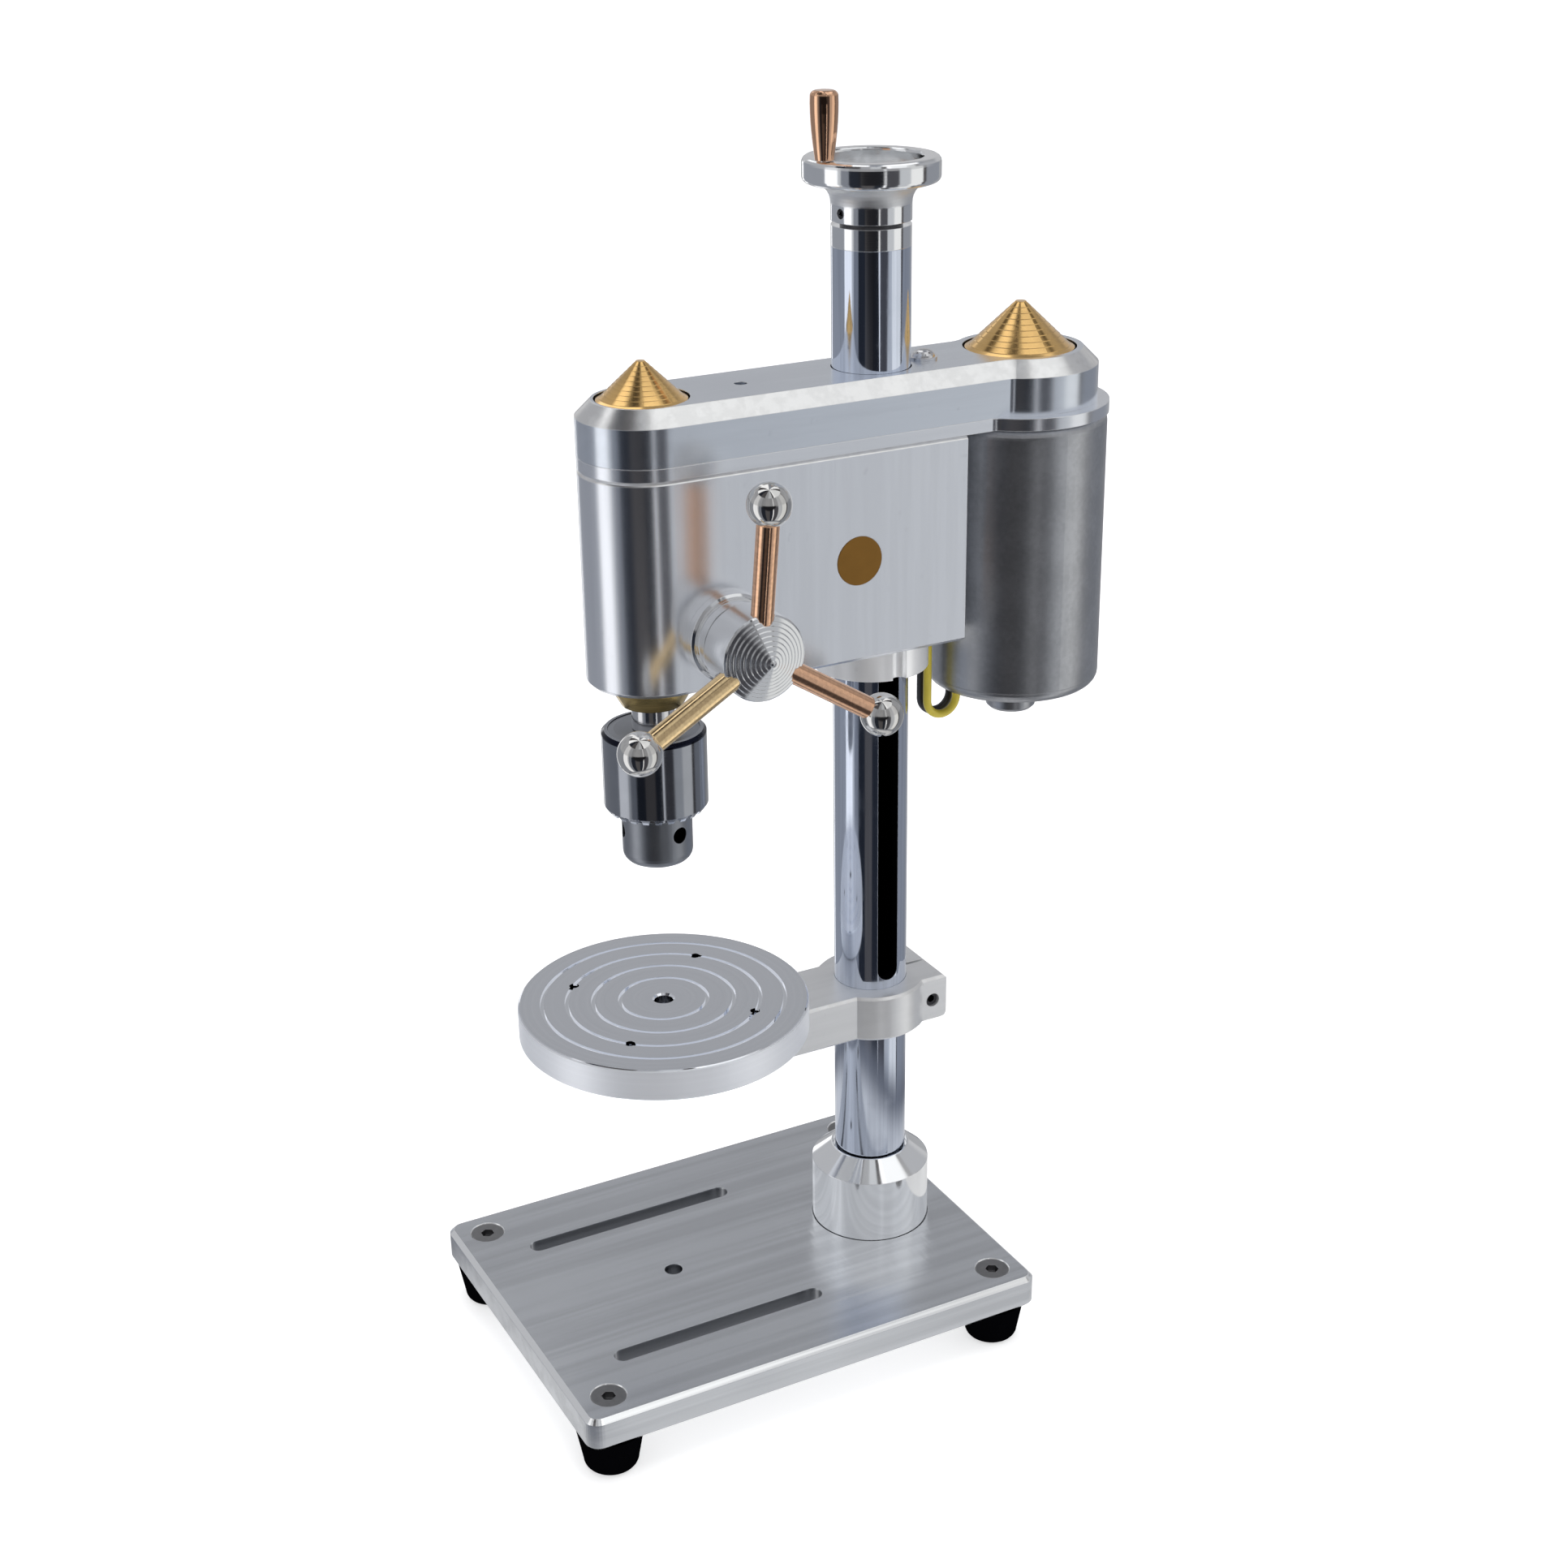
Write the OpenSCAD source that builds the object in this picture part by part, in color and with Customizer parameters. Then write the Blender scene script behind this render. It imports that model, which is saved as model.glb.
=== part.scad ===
// Mini drill press: a round column on a slotted base, a belt-driven head that a handwheel lifts,
// a rack-fed quill with a keyed chuck, and a round table clamped to the column.
// X runs across the base, Y from the chuck to the motor, Z up from the floor.

/* [Base] */
// Length of the base plate, front to rear
base_l = 170; // [145:1:205]
// Width of the base plate
base_w = 130; // [110:1:155]
// Thickness of the base plate
base_t = 12; // [9:0.5:15]
// Reach of the base plate behind the column's axis
base_rear = 30.3; // [26:0.1:38]
// Radius of the base plate's upright corners
base_corner_r = 5; // [3:0.5:8]
// Chamfer round the base plate's faces
base_edge = 1.6; // [0.8:0.1:2.4]
// Width of the two clamping slots
slot_w = 6.5; // [5:0.1:8]
// Distance of each slot from the middle of the base
slot_offset = 36.4; // [30:0.1:43]
// Margin between the slots and the front edge
slot_front_margin = 21.4; // [17:0.1:26]
// Start of the slots in front of the column's axis
slot_rear_start = 40.3; // [34:0.1:48]
// Diameter of the base plate's centre hole
base_hole_d = 6.3; // [5:0.1:8]
// Distance of the corner screws from the plate's edges
screw_inset = 11.6; // [11.3:0.1:15]
// Diameter of the corner screws' heads
foot_screw_head_d = 11.6; // [9:0.1:13]
// Diameter of the corner screws' shanks
foot_screw_d = 6; // [5:0.1:7]
// Diameter of a rubber foot where it meets the plate
foot_d = 22.5; // [17:0.5:23]
// Height of a rubber foot
foot_h = 14.5; // [11:0.5:18]

/* [Column] */
// Diameter of the column
column_d = 25; // [21:0.5:30]
// Bore of the column
column_bore_d = 18; // [15:0.5:20]
// Diameter of the collar that holds the column
collar_d = 41.6; // [35:0.1:50]
// Depth of the seat in the base plate that the collar stands in
collar_seat_h = 1; // [0.6:0.1:1.6]
// Height of the collar's straight side
collar_side_h = 23.3; // [19:0.1:28]
// Height of the collar's coned top
collar_cone_h = 6; // [4.5:0.1:7.5]
// Width of the column's keyway
keyway_w = 7.7; // [6.2:0.1:9.2]
// Height of the keyway's lower end above the base plate
keyway_low = 99.7; // [80:0.1:120]
// Diameter of the collar bolts' shanks
collar_bolt_d = 4; // [3.2:0.1:4.8]
// Free height of column between the belt cover and the top ring
lift_room = 37.6; // [30:0.1:46]

/* [Handwheel] */
// Diameter of the handwheel's rim
wheel_d = 42.8; // [36:0.1:52]
// Width of the rim's top face
rim_w = 5.4; // [4.4:0.1:6.4]
// Height of the rim
rim_h = 7.9; // [6.3:0.1:9.5]
// Height of the flare under the rim
flare_h = 6.2; // [5:0.1:7.4]
// Height of the handwheel's hub
wheel_hub_h = 5.2; // [4.2:0.1:6.4]
// Height of the fixed ring on the column's top
top_ring_h = 6.5; // [5.2:0.1:8]
// Thickness of the washer under the hub
thrust_washer_t = 1.3; // [1:0.1:1.6]
// Diameter of the lead screw
lead_screw_d = 8; // [6.5:0.1:9.5]
// Height of the crank grip
grip_h = 20.3; // [16:0.1:25]
// Largest diameter of the crank grip
grip_d = 8.7; // [7:0.1:10.4]
// Diameter of the crank grip where it meets the rim
grip_foot_d = 5.8; // [4.8:0.1:6.8]
// Diameter of the crank pin
crank_pin_d = 3; // [2.4:0.1:3.6]

/* [Table] */
// Diameter of the round table
table_d = 97; // [80:0.5:116]
// Thickness of the round table
table_t = 11; // [9:0.1:13]
// Height of the table's top above the base plate
table_top_h = 107.6; // [90:0.1:128]
// Width of the table's clamp arm
arm_w = 28; // [23:0.1:33]
// Thickness of the clamp arm
arm_t = 16.5; // [13:0.1:20]
// Wall of the clamp ring round the column
clamp_wall = 6.7; // [5.5:0.1:8]
// Reach of the clamp's ears behind the column's surface
ear_reach = 10.1; // [8.3:0.1:12]
// Width of the clamp's slit
slit_w = 1.4; // [1.1:0.1:1.8]
// Diameter of the clamp screw
clamp_screw_d = 4.9; // [4:0.1:5.8]
// Diameter of the table's centre hole
table_hole_d = 6.2; // [5:0.1:7.4]
// Diameter of the circle of small holes in the table
table_bolt_circle_d = 64; // [53:0.5:76]
// Diameter of the small holes in the table
table_bolt_d = 3.3; // [2.7:0.1:4]
// Width of the ring grooves in the table
ring_groove_w = 1.3; // [1:0.1:1.6]

/* [Head] */
// Distance between the column's axis and the chuck's axis
throat = 79.3; // [68:0.1:94]
// Wall of the head block beside the column
head_side_wall = 8; // [6.5:0.1:9.6]
// Wall of the head block behind the column
head_back_wall = 11.1; // [9:0.1:13.4]
// Height of the head block's underside above the base plate
head_low = 221.8; // [190:0.1:260]
// Height of the head block
head_h = 68.6; // [62:0.1:82]
// Chamfer round the head block's faces
head_edge = 1.2; // [0.8:0.1:1.6]
// Diameter of the round disc on the head's side
side_disc_d = 15.8; // [13:0.1:19]
// Distance of the side disc in front of the column's axis
side_disc_y = 15.8; // [13:0.1:19]
// Height of the side disc's centre above the head's underside
side_disc_z = 33.6; // [28:0.1:40]
// Diameter of the notched ring under the head
lower_ring_d = 38; // [34:0.1:39]
// Height of the notched ring under the head
lower_ring_h = 9.6; // [8:0.1:11.5]

/* [Drive] */
// Thickness of the belt plate
plate_t = 4; // [3.2:0.1:4.8]
// Height of the belt cover
cover_h = 17; // [15.8:0.1:20.4]
// Chamfer round the belt cover's top
cover_edge = 5; // [4:0.1:5.8]
// Wall of the belt cover
cover_wall = 3; // [2.4:0.1:3.4]
// Radius of the belt cover's rear end
cover_rear_r = 25.7; // [24:0.1:29.5]
// Radius of the hollow blend at the cover's waist
waist_blend_r = 5; // [4:0.1:6]
// Diameter of the motor can
motor_d = 58.4; // [49:0.1:69]
// Length of the motor can
motor_l = 89.2; // [74:0.1:106]
// Wall of the motor can
can_wall = 2; // [1.6:0.1:2.4]
// Gap between the head block and the motor can
motor_gap = 2.6; // [2.1:0.1:3.1]
// Reach of the belt plate beyond the motor can
flange_lip = 0.4; // [0.3:0.05:0.5]
// Diameter of the front brass cone
front_cone_d = 28; // [23.5:0.1:30]
// Diameter of the rear brass cone
rear_cone_d = 35.7; // [30:0.1:40]
// Thickness of the drive belt
belt_t = 1.6; // [1.3:0.1:1.9]
// Width of the drive belt
belt_w = 6.4; // [5.2:0.1:7]
// Gap between the drive belt and the column
belt_gap = 1.05; // [0.8:0.05:1.3]
// Diameter of the motor shaft
motor_shaft_d = 6; // [5:0.1:7]
// Diameter of a power wire
wire_d = 2.8; // [2.2:0.1:3.3]

/* [Spindle] */
// Diameter of the quill
quill_d = 24; // [22:0.1:28.5]
// Stroke of the quill
quill_stroke = 28; // [23:0.5:33]
// Height of the brass nose under the quill
quill_nose_h = 8; // [6.5:0.1:9.6]
// Diameter of the spindle inside its bearings
spindle_d = 10; // [8.4:0.1:11]
// Diameter of the spindle between the nose and the chuck
spindle_collar_d = 13.7; // [12.6:0.1:16]
// Height of spindle that shows between the nose and the chuck
spindle_show = 8.6; // [7:0.1:10.4]
// Pitch diameter of the pinion that feeds the quill
pinion_d = 12; // [10.2:0.6:13.8]

/* [Feed] */
// Distance of the hub's face from the head's side
hub_reach = 24.5; // [22:0.1:29]
// Diameter of the feed hub
hub_d = 27.5; // [23:0.1:32]
// Length of the feed hub's straight side
hub_l = 15; // [12.5:0.1:16]
// Height of the turned cone on the hub's face
hub_cone_h = 6; // [5:0.1:7.2]
// Diameter of the bush flange on the head's side
feed_flange_d = 28.6; // [24:0.1:33]
// Distance of each ball's centre from the hub's axis
arm_reach = 47.7; // [40:0.1:57]
// Diameter of the handle rods
rod_d = 7.1; // [6:0.1:8.4]
// Diameter of the handle balls
ball_d = 13.8; // [11.6:0.1:16]
// Diameter of the spring cap
spring_cap_d = 28; // [24:0.1:33]
// Height of the spring cap
spring_cap_h = 9; // [7.5:0.1:10.8]

/* [Chuck] */
// Diameter of the chuck's sleeve
sleeve_d = 33.6; // [31:0.1:40]
// Height of the chuck's sleeve
sleeve_h = 27.4; // [25:0.1:31]
// Diameter of the chuck's nose
chuck_nose_d = 22.8; // [20.6:0.1:26]
// Height of the chuck's nose below the sleeve
chuck_nose_h = 18; // [16:0.1:21]
// Largest shank that the chuck takes
chuck_mouth_d = 8; // [6.8:0.1:8.8]
// Diameter of a chuck jaw
jaw_d = 5.2; // [4.4:0.1:5.8]
// Diameter of the holes for the chuck key
key_hole_d = 5.5; // [4.5:0.1:6.5]

/* [Hidden] */
$fn = 96;

// Clearances
fixed_gap = 0.02;
running_gap = 0.05;
part_gap = 0.3;
overrun = 1;
// A round end stands this much proud of the flat side that runs into it
round_proud = 0.03;

// Levels, from the floor up
base_top = foot_h + base_t;
head_z = base_top + head_low;
head_top = head_z + head_h;
plate_top = head_top + plate_t;
cover_top = plate_top + cover_h;
column_top = cover_top + lift_room;
ring_top = column_top + top_ring_h;
hub_z = ring_top + thrust_washer_t;
wheel_top = hub_z + wheel_hub_h + flare_h + rim_h;

// Plan places, from the column's axis
base_front = base_l - base_rear;
head_w = column_d + 2*head_side_wall;
head_rear = column_d/2 + head_back_wall;
flange_r = motor_d/2 + flange_lip;
motor_offset = head_rear + motor_gap + motor_d/2;
// The origin lies under the middle of the whole machine
column_y = (base_front - motor_offset - flange_r)/2;

module at_column() {
  translate([0, column_y, 0]) children();
}

module at_spindle() {
  at_column() translate([0, -throat, 0]) children();
}

module at_motor() {
  at_column() translate([0, motor_offset, 0]) children();
}

// A tube standing on z
module ring_solid(d_out, d_in, z, h) {
  translate([0, 0, z]) difference() {
    cylinder(d = d_out, h = h);
    translate([0, 0, -overrun]) cylinder(d = d_in, h = h + 2*overrun);
  }
}

// A cylinder standing on z
module post(d, z, h) {
  translate([0, 0, z]) cylinder(d = d, h = h);
}

// A hole through a plate that stands on z
module hole(d, z, h) {
  post(d, z - overrun, h + 2*overrun);
}

// A ball bearing: two races and a shield sunk between them
bearing_race_share = 0.3;
shield_sink_share = 0.08;
module bearing(d_out, d_in, z, h) {
  race = (d_out - d_in)/2*bearing_race_share;
  sink = h*shield_sink_share;
  translate([0, 0, z]) rotate_extrude() polygon([
    [d_in/2, 0], [d_in/2 + race, 0], [d_in/2 + race, sink], [d_out/2 - race, sink],
    [d_out/2 - race, 0], [d_out/2, 0], [d_out/2, h], [d_out/2 - race, h],
    [d_out/2 - race, h - sink], [d_in/2 + race, h - sink], [d_in/2 + race, h], [d_in/2, h]]);
}

// Base

corner_x = base_w/2 - base_corner_r;
corner_front = base_front - base_corner_r;
corner_rear = base_rear - base_corner_r;
foot_x = base_w/2 - screw_inset;
foot_front = base_front - screw_inset;
foot_rear = base_rear - screw_inset;
foot_places = [[-foot_x, -foot_front], [foot_x, -foot_front], [foot_x, foot_rear], [-foot_x, foot_rear]];
foot_head_h = (foot_screw_head_d - foot_screw_d)/2 + 0.1*foot_screw_d;
collar_bolt_r = (collar_d + column_d)/4;
collar_bolt_head_d = 1.75*collar_bolt_d;
collar_bolt_head_h = collar_bolt_d;
collar_bolt_grip = collar_side_h*0.55;
// The collar and the column stand in a shallow seat in the base plate
seat_z = base_top - collar_seat_h;

module clamping_slot(side) {
  hull() for (y = [slot_rear_start + slot_w/2, base_front - slot_front_margin - slot_w/2])
    translate([side*slot_offset, -y, foot_h - overrun])
      cylinder(d = slot_w, h = base_t + 2*overrun, $fn = 32);
}

module base_plate() color("lightsteelblue") at_column() difference() {
  translate([0, 0, foot_h]) hull() for (x = [-corner_x, corner_x], y = [-corner_front, corner_rear])
    translate([x, y, 0]) {
      cylinder(r = base_corner_r - base_edge, h = base_t, $fn = 32);
      translate([0, 0, base_edge]) cylinder(r = base_corner_r, h = base_t - 2*base_edge, $fn = 32);
    }
  for (p = foot_places) translate([p[0], p[1], 0]) {
    hole(foot_screw_d + 2*part_gap, foot_h, base_t);
    translate([0, 0, base_top - foot_head_h - part_gap]) cylinder(d1 = foot_screw_d + 2*part_gap,
      d2 = foot_screw_head_d + 2*part_gap, h = foot_head_h + part_gap);
    hole(foot_screw_head_d + 2*part_gap, base_top + overrun, overrun);
  }
  clamping_slot(-1);
  clamping_slot(1);
  translate([0, -throat, 0]) hole(base_hole_d, foot_h, base_t);
  post(collar_d + 2*part_gap, seat_z, collar_seat_h + overrun);
  for (a = [30, 150, 270]) rotate([0, 0, a]) translate([collar_bolt_r, 0, 0]) {
    hole(collar_bolt_d + 2*fixed_gap, foot_h, base_t);
    post(collar_bolt_head_d + 2*part_gap, foot_h - overrun, collar_bolt_head_h + part_gap + overrun);
  }
}

foot_taper_share = 0.82;
foot_round_share = 0.22;
foot_screw_depth_share = 0.6;

foot_round = foot_h*foot_round_share;
foot_screw_z = foot_h*(1 - foot_screw_depth_share);

// Points round an arc about a centre, from angle a0 to a1
function arc(cx, cy, r, a0, a1, n) = [for (i = [0:n]) let (a = a0 + (a1 - a0)*i/n)
  [cx + r*cos(a), cy + r*sin(a)]];

module at_feet() {
  at_column() for (p = foot_places) translate([p[0], p[1], 0]) children();
}

// A foot has a tapered side and a rounded lower edge
module rubber_feet() color("black") at_feet() difference() {
  rotate_extrude() polygon(concat([[0, 0]],
    arc(foot_d/2*foot_taper_share - foot_round, foot_round, foot_round, -90, 0, 6),
    [[foot_d/2, foot_h], [0, foot_h]]));
  post(foot_screw_d + 2*fixed_gap, foot_screw_z, foot_h);
}

hex_share = 0.42;
module foot_screws() color("dimgray") at_feet() difference() {
  union() {
    post(foot_screw_d, foot_screw_z + part_gap, base_top - foot_head_h - foot_screw_z - part_gap);
    translate([0, 0, base_top - foot_head_h - part_gap])
      cylinder(d1 = foot_screw_d, d2 = foot_screw_head_d, h = foot_head_h);
  }
  translate([0, 0, base_top - foot_head_h*0.8])
    cylinder(d = foot_screw_head_d*hex_share, h = foot_head_h, $fn = 6);
}

collar_lip_share = 0.065;
module column_collar() color("gainsboro") at_column() difference() {
  translate([0, 0, base_top]) rotate_extrude() polygon([
    [column_d/2 + fixed_gap, -collar_seat_h], [collar_d/2, -collar_seat_h], [collar_d/2, collar_side_h],
    [column_d/2*(1 + 1.6*collar_lip_share), collar_side_h + collar_cone_h],
    [column_d/2*(1 + collar_lip_share), collar_side_h + collar_cone_h],
    [column_d/2*(1 + collar_lip_share), collar_side_h + collar_cone_h*0.6],
    [column_d/2 + fixed_gap, collar_side_h + collar_cone_h*0.6]]);
  for (a = [30, 150, 270]) rotate([0, 0, a]) translate([collar_bolt_r, 0, 0])
    post(collar_bolt_d + 2*fixed_gap, seat_z - overrun, collar_seat_h + collar_bolt_grip + part_gap + overrun);
}

module collar_bolts() color("dimgray") at_column() for (a = [30, 150, 270]) rotate([0, 0, a])
  translate([collar_bolt_r, 0, 0]) difference() {
    union() {
      post(collar_bolt_head_d, foot_h + part_gap, collar_bolt_head_h);
      post(collar_bolt_d, foot_h + part_gap, base_t + collar_bolt_grip - part_gap);
    }
    post(collar_bolt_head_d*0.5, foot_h, collar_bolt_head_h*0.6, $fn = 6);
  }

// Column and lift

key_h = lower_ring_h*0.62;
key_z = head_z - key_h;
keyway_high = head_z + lift_room + keyway_w/2;
screw_foot = base_top + keyway_low + keyway_w/2;
journal_d = lead_screw_d*0.82;

module column_tube() color("lightslategray") at_column() difference() {
  ring_solid(column_d, column_bore_d, seat_z, column_top - seat_z);
  hull() for (z = [base_top + keyway_low + keyway_w/2, keyway_high])
    translate([column_bore_d/4, 0, z]) rotate([0, 90, 0]) cylinder(d = keyway_w, h = column_d/2, $fn = 32);
}

spigot_h = top_ring_h*1.2;
module top_ring() color("gainsboro") at_column() difference() {
  union() {
    post(column_d, column_top, top_ring_h);
    post(column_bore_d - 2*fixed_gap, column_top - spigot_h, spigot_h + overrun);
  }
  hole(journal_d + 2*running_gap, column_top - spigot_h, spigot_h + top_ring_h);
}

thrust_washer_share = 0.78;
module thrust_washer() color("slategray") at_column()
  ring_solid(column_d*thrust_washer_share, journal_d + 2*running_gap, ring_top, thrust_washer_t);

module lead_screw() color("darkslategray") at_column() {
  post(lead_screw_d, screw_foot, column_top - spigot_h - part_gap - screw_foot);
  post(journal_d, screw_foot, hub_z + wheel_hub_h + flare_h*0.6 - screw_foot);
}

wheel_r = wheel_d/2;
wheel_hub_r = column_d/2 + 2*running_gap;
flare_r = wheel_r*0.87;
dish_floor = wheel_hub_h + flare_h*0.75;
rim_round = rim_h*0.24;
rim_low = wheel_hub_h + flare_h;
rim_in = wheel_r - rim_w;
crank_r = wheel_r - rim_w/2;
crank_angle = -78.5;
grub_z = wheel_hub_h*0.56;
grub_d = wheel_hub_h*0.6;

// The flare is a hollow quarter of an ellipse from the hub to the rim
function flare(n) = [for (i = [0:n]) let (a = 90*i/n)
  [flare_r - (flare_r - wheel_hub_r)*cos(a), wheel_hub_h + flare_h*sin(a)]];

module handwheel() color("gainsboro") at_column() difference() {
  translate([0, 0, hub_z]) rotate_extrude() polygon(concat(
    [[0, 0], [wheel_hub_r, 0]],
    flare(8),
    arc(wheel_r - rim_round, rim_low + rim_round, rim_round, -75, 0, 4),
    arc(wheel_r - rim_round, rim_low + rim_h - rim_round, rim_round, 0, 90, 4),
    arc(rim_in + rim_round/2, rim_low + rim_h - rim_round/2, rim_round/2, 90, 180, 3),
    [[rim_in, dish_floor + rim_round], [rim_in - 2*rim_round, dish_floor], [0, dish_floor]]));
  hole(journal_d + 2*fixed_gap, hub_z, dish_floor);
  rotate([0, 0, crank_angle]) {
    translate([crank_r, 0, 0])
      post(crank_pin_d + 2*fixed_gap, wheel_top - rim_h*0.8, rim_h + overrun);
    translate([0, 0, hub_z + grub_z]) rotate([0, 90, 0]) cylinder(d = grub_d, h = wheel_hub_r + overrun);
  }
}

module wheel_grub_screw() color("dimgray") at_column() rotate([0, 0, crank_angle])
  translate([journal_d/2 + fixed_gap, 0, hub_z + grub_z]) rotate([0, 90, 0]) difference() {
    cylinder(d = grub_d - 2*fixed_gap, h = (wheel_hub_r - journal_d/2)*0.7);
    translate([0, 0, (wheel_hub_r - journal_d/2)*0.4])
      cylinder(d = grub_d/2, h = wheel_hub_r, $fn = 6);
  }

module crank_pin() color("silver") at_column() rotate([0, 0, crank_angle]) translate([crank_r, 0, 0])
  post(crank_pin_d, wheel_top - rim_h*0.75, rim_h*0.75 + grip_h*0.8);

// The grip swells from its foot to a rounded top
grip_round = grip_d*0.21;
function grip_side(n) = [for (i = [0:n]) let (u = i/n)
  [grip_foot_d/2 + (grip_d - grip_foot_d)/2*sin(90*u), (grip_h - 2*grip_round)*u]];

module crank_grip() color("rosybrown") at_column() rotate([0, 0, crank_angle])
  translate([crank_r, 0, wheel_top + part_gap]) difference() {
    rotate_extrude() polygon(concat([[0, 0]], grip_side(6),
      arc(grip_d/2 - grip_round, grip_h - grip_round, grip_round, 15, 90, 5),
      [[0, grip_h]]));
    hole(crank_pin_d + 2*running_gap, 0, grip_h*0.8 - overrun);
  }

nut_d = column_bore_d - 4*running_gap;
nut_h = lower_ring_h*1.7;
key_reach = column_d/2 + (lower_ring_d - column_d)/4;
key_w = keyway_w - 4*running_gap;

module lift_nut() color("darkgoldenrod") at_column() difference() {
  union() {
    post(nut_d, key_z - nut_h/4, nut_h);
    translate([0, -key_w/2, key_z]) cube([key_reach, key_w, key_h - fixed_gap]);
  }
  hole(lead_screw_d + 2*running_gap, key_z - nut_h/4, nut_h);
}

ring_screw_d = (lower_ring_d - column_d)*0.2;
ring_screw_r = (lower_ring_d + column_d)/4;
ring_screw_angles = [60, 180, 300];
ring_screw_head_h = ring_screw_d;
ring_screw_grip = ring_screw_d*3;

module lower_ring() color("silver") at_column() difference() {
  ring_solid(lower_ring_d, column_d + 2*running_gap, head_z - lower_ring_h, lower_ring_h);
  translate([0, -key_w/2 - fixed_gap, key_z - fixed_gap])
    cube([key_reach + fixed_gap, key_w + 2*fixed_gap, key_h + overrun]);
  translate([lower_ring_d/2, 0, 0]) hole(keyway_w*0.65, head_z - lower_ring_h, lower_ring_h);
  for (a = ring_screw_angles) rotate([0, 0, a]) translate([ring_screw_r, 0, 0]) {
    hole(ring_screw_d + 2*fixed_gap, head_z - lower_ring_h, lower_ring_h);
    post(ring_screw_d*1.8 + 2*fixed_gap, head_z - lower_ring_h - overrun, ring_screw_head_h + overrun);
  }
}

module ring_screws() color("dimgray") at_column() for (a = ring_screw_angles) rotate([0, 0, a])
  translate([ring_screw_r, 0, head_z - lower_ring_h]) difference() {
    union() {
      cylinder(d = ring_screw_d*1.8, h = ring_screw_head_h - fixed_gap);
      cylinder(d = ring_screw_d, h = lower_ring_h + ring_screw_grip);
    }
    translate([0, 0, -overrun])
      cylinder(d = ring_screw_d*0.9, h = overrun + ring_screw_head_h*0.6, $fn = 6);
  }

// Head

top_bearing_d = quill_d*13/12;
top_bearing_h = head_h*0.17;
teeth = 12;
tooth_module = pinion_d/teeth;
pressure_angle = 25;
addendum = 0.9*tooth_module;
dedendum = 1.15*tooth_module;
backlash = 0.12*tooth_module;
pitch_r = pinion_d/2;
tooth_pitch = PI*tooth_module;
pinion_y = -throat + quill_d/2 - addendum + pitch_r;
pinion_z = head_z + head_h*0.25;
pinion_w = quill_d*0.44;
bush_d = 2*(pitch_r + addendum + part_gap);
bush_inner = quill_d*0.31;
feed_shaft_d = 2*(pitch_r - dedendum);

// Local +Z is the handle side, and the feed axis runs through the middle
module at_feed() {
  at_column() translate([0, pinion_y, pinion_z]) rotate([0, 90, 0]) children();
}

module head_section(edge) {
  w = head_w/2;
  polygon([[-w + edge, 0], [w - edge, 0], [w, edge], [w, head_h - edge], [w - edge, head_h],
    [-w + edge, head_h], [-w, head_h - edge], [-w, edge]]);
}

wire_hole_d = wire_d + 2*part_gap;
nose_r = head_w/2 + round_proud;

module head_block() color("silver") at_column() difference() {
  union() {
    translate([0, head_rear, head_z]) rotate([90, 0, 0]) linear_extrude(head_rear + throat)
      head_section(head_edge);
    translate([0, -throat, head_z]) rotate_extrude() polygon([[0, 0], [nose_r - head_edge, 0],
      [nose_r, head_edge], [nose_r, head_h - head_edge], [nose_r - head_edge, head_h], [0, head_h]]);
  }
  hole(column_d + 2*running_gap, head_z, head_h);
  translate([0, -throat, 0]) {
    hole(quill_d + 2*running_gap, head_z, head_h);
    post(top_bearing_d + 2*fixed_gap, head_top - top_bearing_h, top_bearing_h + overrun);
  }
  translate([0, pinion_y, pinion_z]) rotate([0, 90, 0])
    translate([0, 0, -head_w/2 - overrun]) cylinder(d = bush_d + 2*fixed_gap, h = head_w + 2*overrun);
  for (a = ring_screw_angles) rotate([0, 0, a]) translate([ring_screw_r, 0, 0])
    post(ring_screw_d + 2*fixed_gap, head_z - overrun, ring_screw_grip + overrun + part_gap);
  translate([head_w/2, -side_disc_y, head_z + side_disc_z]) rotate([0, 90, 0])
    translate([0, 0, -side_disc_sink]) cylinder(d = side_disc_d + 2*fixed_gap, h = overrun);
  for (x = wire_x) translate([x, wire_y, 0]) post(wire_hole_d, head_z - overrun, wire_sink + overrun);
  for (y = cover_screw_y) translate([0, y, 0])
    post(cover_screw_d + 2*fixed_gap, head_top - cover_screw_grip, cover_screw_grip + overrun);
}

side_disc_sink = head_edge/2;
module side_disc() color("peru") at_column()
  translate([head_w/2 - side_disc_sink, -side_disc_y, head_z + side_disc_z]) rotate([0, 90, 0])
    cylinder(d = side_disc_d, h = side_disc_sink + part_gap/2);

// Distance from the motor's axis back to the centre of the hollow blend at the waist
function blend_back(r) = sqrt(pow(r + waist_blend_r, 2) - pow(head_w/2 + waist_blend_r, 2));

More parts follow.
